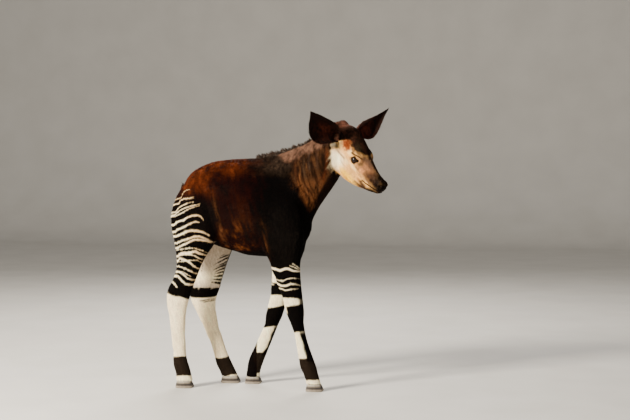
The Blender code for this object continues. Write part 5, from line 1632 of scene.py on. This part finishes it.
def make_tail_brush():
    rng = np.random.default_rng(SEED + 5)
    share = rng.uniform(0.42, 0.84, TAIL_LOCKS) ** 0.8
    count = len(TAIL_LINE) - 1
    at = share * count
    route = np.column_stack([np.interp(at, range(count + 1), TAIL_LINE[:, k]) for k in range(3)])
    turn = rng.uniform(0, 2 * math.pi, TAIL_LOCKS)
    out = np.column_stack([np.cos(turn), np.sin(turn), 0 * turn])
    roots = route + out * 0.0045
    end = TAIL_LINE[-1]
    drop = route[:, 2] - end[2]
    lengths = np.clip(drop * rng.uniform(0.62, 1.02, TAIL_LOCKS), 0.03, 0.17)
    ways = np.column_stack([0.10 * out[:, 0] + 0.02, 0.10 * out[:, 1], -np.ones(TAIL_LOCKS)])
    bends = -out * (0.05 * lengths)[:, None] + rng.normal(0, 0.004, roots.shape) * (1, 1, 0.2)
    return locks("tail_brush", "tail", roots, ways, out, lengths, rng.uniform(0.0022, 0.0042, TAIL_LOCKS), bends, HAIR, steps=6)


PIECES.append((make_tail_brush(), ["tail"], "hair"))

# %% [markdown]
# The lashes stand out and down from the edge of the upper lid.

# %% Lashes
LASHES = 44


def make_lashes(hand):
    rng = np.random.default_rng(SEED + 9 + hand)
    turn = np.radians(np.linspace(24, 156, LASHES) + rng.normal(0, 1.5, LASHES))
    along, across = np.cos(turn) * LID_HALF[0] * 1.03, np.sin(turn) * LID_HALF[1] * 0.99
    a = EYE_IN_HEAD[0] + along * math.cos(LID_SLANT) - across * math.sin(LID_SLANT)
    b = EYE_IN_HEAD[2] + along * math.sin(LID_SLANT) + across * math.cos(LID_SLANT)
    out = np.sqrt(EYE_RADIUS**2 - along**2 - across**2) + 0.0010
    roots = CROWN + np.outer(a, FACE) + np.outer(b, UPWARD) + np.outer(hand * (EYE_IN_HEAD[1] + out), LEFTWARD)
    lift = UPWARD * math.cos(LID_SLANT) - FACE * math.sin(LID_SLANT)
    fan = np.outer(along / LID_HALF[0] * 0.45, FACE)
    ways = fan + LEFTWARD * hand * 1.0 + lift * 0.10 + rng.normal(0, 0.06, roots.shape)
    lengths = 0.0105 * (0.65 + 0.35 * np.sin(turn)) * rng.uniform(0.8, 1.1, LASHES)
    bends = np.tile(lift * 0.0012 - UPWARD * 0.0030, (LASHES, 1))
    return locks(f"lashes_{hand}", "face", roots, ways, np.tile(lift, (LASHES, 1)), lengths, np.full(LASHES, 0.0008), bends, HAIR)


for hand in (-1, 1):
    PIECES.append((make_lashes(hand), [], "hair"))

# %% [markdown]
# ## Hooves
# The hooves keep the solids' shapes. Their horn is grey-brown and grows down from the pale hair of
# the coronet in faint rings, with a dark line below the top and a worn, lighter edge at the ground.

# %% Horn
def horn_material():
    material, g, shader = new_material("horn")
    place = g.node("ShaderNodeTexCoord", output=3)
    height = Wire(g, g.node("ShaderNodeSeparateXYZ", values={0: place}).socket.node.outputs["Z"])
    stretch = g.vector("MULTIPLY", place, (60.0, 60.0, 900.0))
    rings = g.node("ShaderNodeTexNoise", values={"Vector": stretch, "Scale": 1.0, "Detail": 2.0})
    fibre = g.node("ShaderNodeTexNoise", values={"Vector": g.vector("MULTIPLY", place, (900.0, 900.0, 60.0)), "Scale": 1.0})
    level = height * 28.0 + 0.16 * (rings - 0.5)
    colour = g.ramp(level, [(0.0, (0.16, 0.12, 0.085)), (0.16, (0.30, 0.25, 0.19)), (0.34, (0.060, 0.045, 0.035)),
                            (0.52, (0.020, 0.015, 0.012)), (0.66, (0.20, 0.165, 0.125)), (0.9, (0.46, 0.41, 0.33))])
    # fine darker streaks along the horn's fibres
    fibre_streaks = g.ramp(fibre, [(0.3, (0.62, 0.60, 0.58)), (0.7, (1.0, 1.0, 1.0))])
    colour = g.mix(1.0, colour, fibre_streaks, "MULTIPLY")
    bump = g.node("ShaderNodeBump", values={"Strength": 0.5, "Distance": 0.0006, "Height": rings + 0.4 * fibre})
    connect(g, shader, {"Base Color": colour, "Normal": bump, "Roughness": 0.42 + 0.25 * fibre}, Specular_IOR_Level=0.4)
    return material


HORN = horn_material()
for name, node in NODES.items():
    if name.startswith("hoof"):
        for slot in node.material_slots:
            slot.material = HORN

# %% [markdown]
# ## Camera, light and floor
# The camera stands where the photographer stood for the calf's size in the frame: almost level with
# its back, a little behind its shoulder, with a long lens. A large soft key, a broad fill and a low
# sheen from behind stand for studio light.

# %% Camera
CAMERA_PLACE = (1.3132, -6.8202, 1.20)
CAMERA_LOOK = (-0.1650, 0.9863)
CAMERA_DIP = math.radians(3.05)
LENS = 85.77
camera = bpy.data.objects.new("camera", bpy.data.cameras.new("camera"))
bpy.context.scene.collection.objects.link(camera)
camera.data.lens = LENS
camera.data.sensor_width = 36
look = Vector((CAMERA_LOOK[0] * math.cos(CAMERA_DIP), CAMERA_LOOK[1] * math.cos(CAMERA_DIP), -math.sin(CAMERA_DIP)))
camera.location = CAMERA_PLACE
camera.rotation_euler = look.to_track_quat("-Z", "Y").to_euler()
bpy.context.scene.camera = camera


# %% Lights
def lamp(name, place, target, size, power, tint):
    data = bpy.data.lights.new(name, "AREA")
    data.size, data.energy, data.color = size, power, tint
    made = bpy.data.objects.new(name, data)
    made.location = place
    made.rotation_euler = (Vector(target) - Vector(place)).to_track_quat("-Z", "Y").to_euler()
    bpy.context.scene.collection.objects.link(made)
    return made


AIM = (0, 0, 0.7)
lamp("key", (-3.4, -3.4, 3.0), AIM, 1.1, 1090, (1.0, 0.93, 0.80))
lamp("fill", (3.4, -4.2, 2.2), AIM, 1.8, 70, (0.95, 0.97, 1.0))
lamp("rim", (-0.6, 3.2, 3.4), AIM, 2.0, 240, (1.0, 0.95, 0.88))
world = bpy.data.worlds.new("studio")
world.use_nodes = True
background = world.node_tree.nodes["Background"]
background.inputs["Color"].default_value = (0.86, 0.85, 0.83, 1)
background.inputs["Strength"].default_value = 0.34
bpy.context.scene.world = world


# %% Floor
def floor_material():
    material, g, shader = new_material("studio floor")
    place = g.node("ShaderNodeTexCoord", output=3)
    mottle = g.node("ShaderNodeTexNoise", values={"Vector": place, "Scale": 3.0})
    colour = g.ramp(mottle, [(0.3, (0.48, 0.46, 0.43)), (0.7, (0.52, 0.50, 0.47))])
    connect(g, shader, {"Base Color": colour}, Roughness=0.85)
    return material


def make_floor():
    """A floor that turns up into a wall in one sweep, as in a photographer's studio."""
    half, depth, bend = 12.0, 8.4, 1.6
    turns = np.linspace(0, math.pi / 2, 14)
    profile = [(-12.0, 0.0), (-3.0, 0.0), (3.0, 0.0)]
    profile += [(depth + bend * math.sin(t), bend * (1 - math.cos(t))) for t in turns]
    profile += [(depth + bend, 9.0)]
    bm = bmesh.new()
    rows = [[bm.verts.new((x, y, z)) for x in np.linspace(-half, half, 9)] for y, z in profile]
    for low, high in zip(rows, rows[1:]):
        for k in range(8):
            bm.faces.new((low[k], low[k + 1], high[k + 1], high[k])).smooth = True
    mesh = bpy.data.meshes.new("floor")
    bm.to_mesh(mesh)
    bm.free()
    floor = add("floor", mesh)
    floor.data.materials.append(floor_material())


make_floor()

# %% [markdown]
# ## The pieces on the body
# Everything rides on the one body, and the solids that each piece stands for are hidden.

# %% Rides and replacements
for piece, nodes, slot in PIECES:
    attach(piece, "root")
    if nodes:
        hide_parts(*nodes)
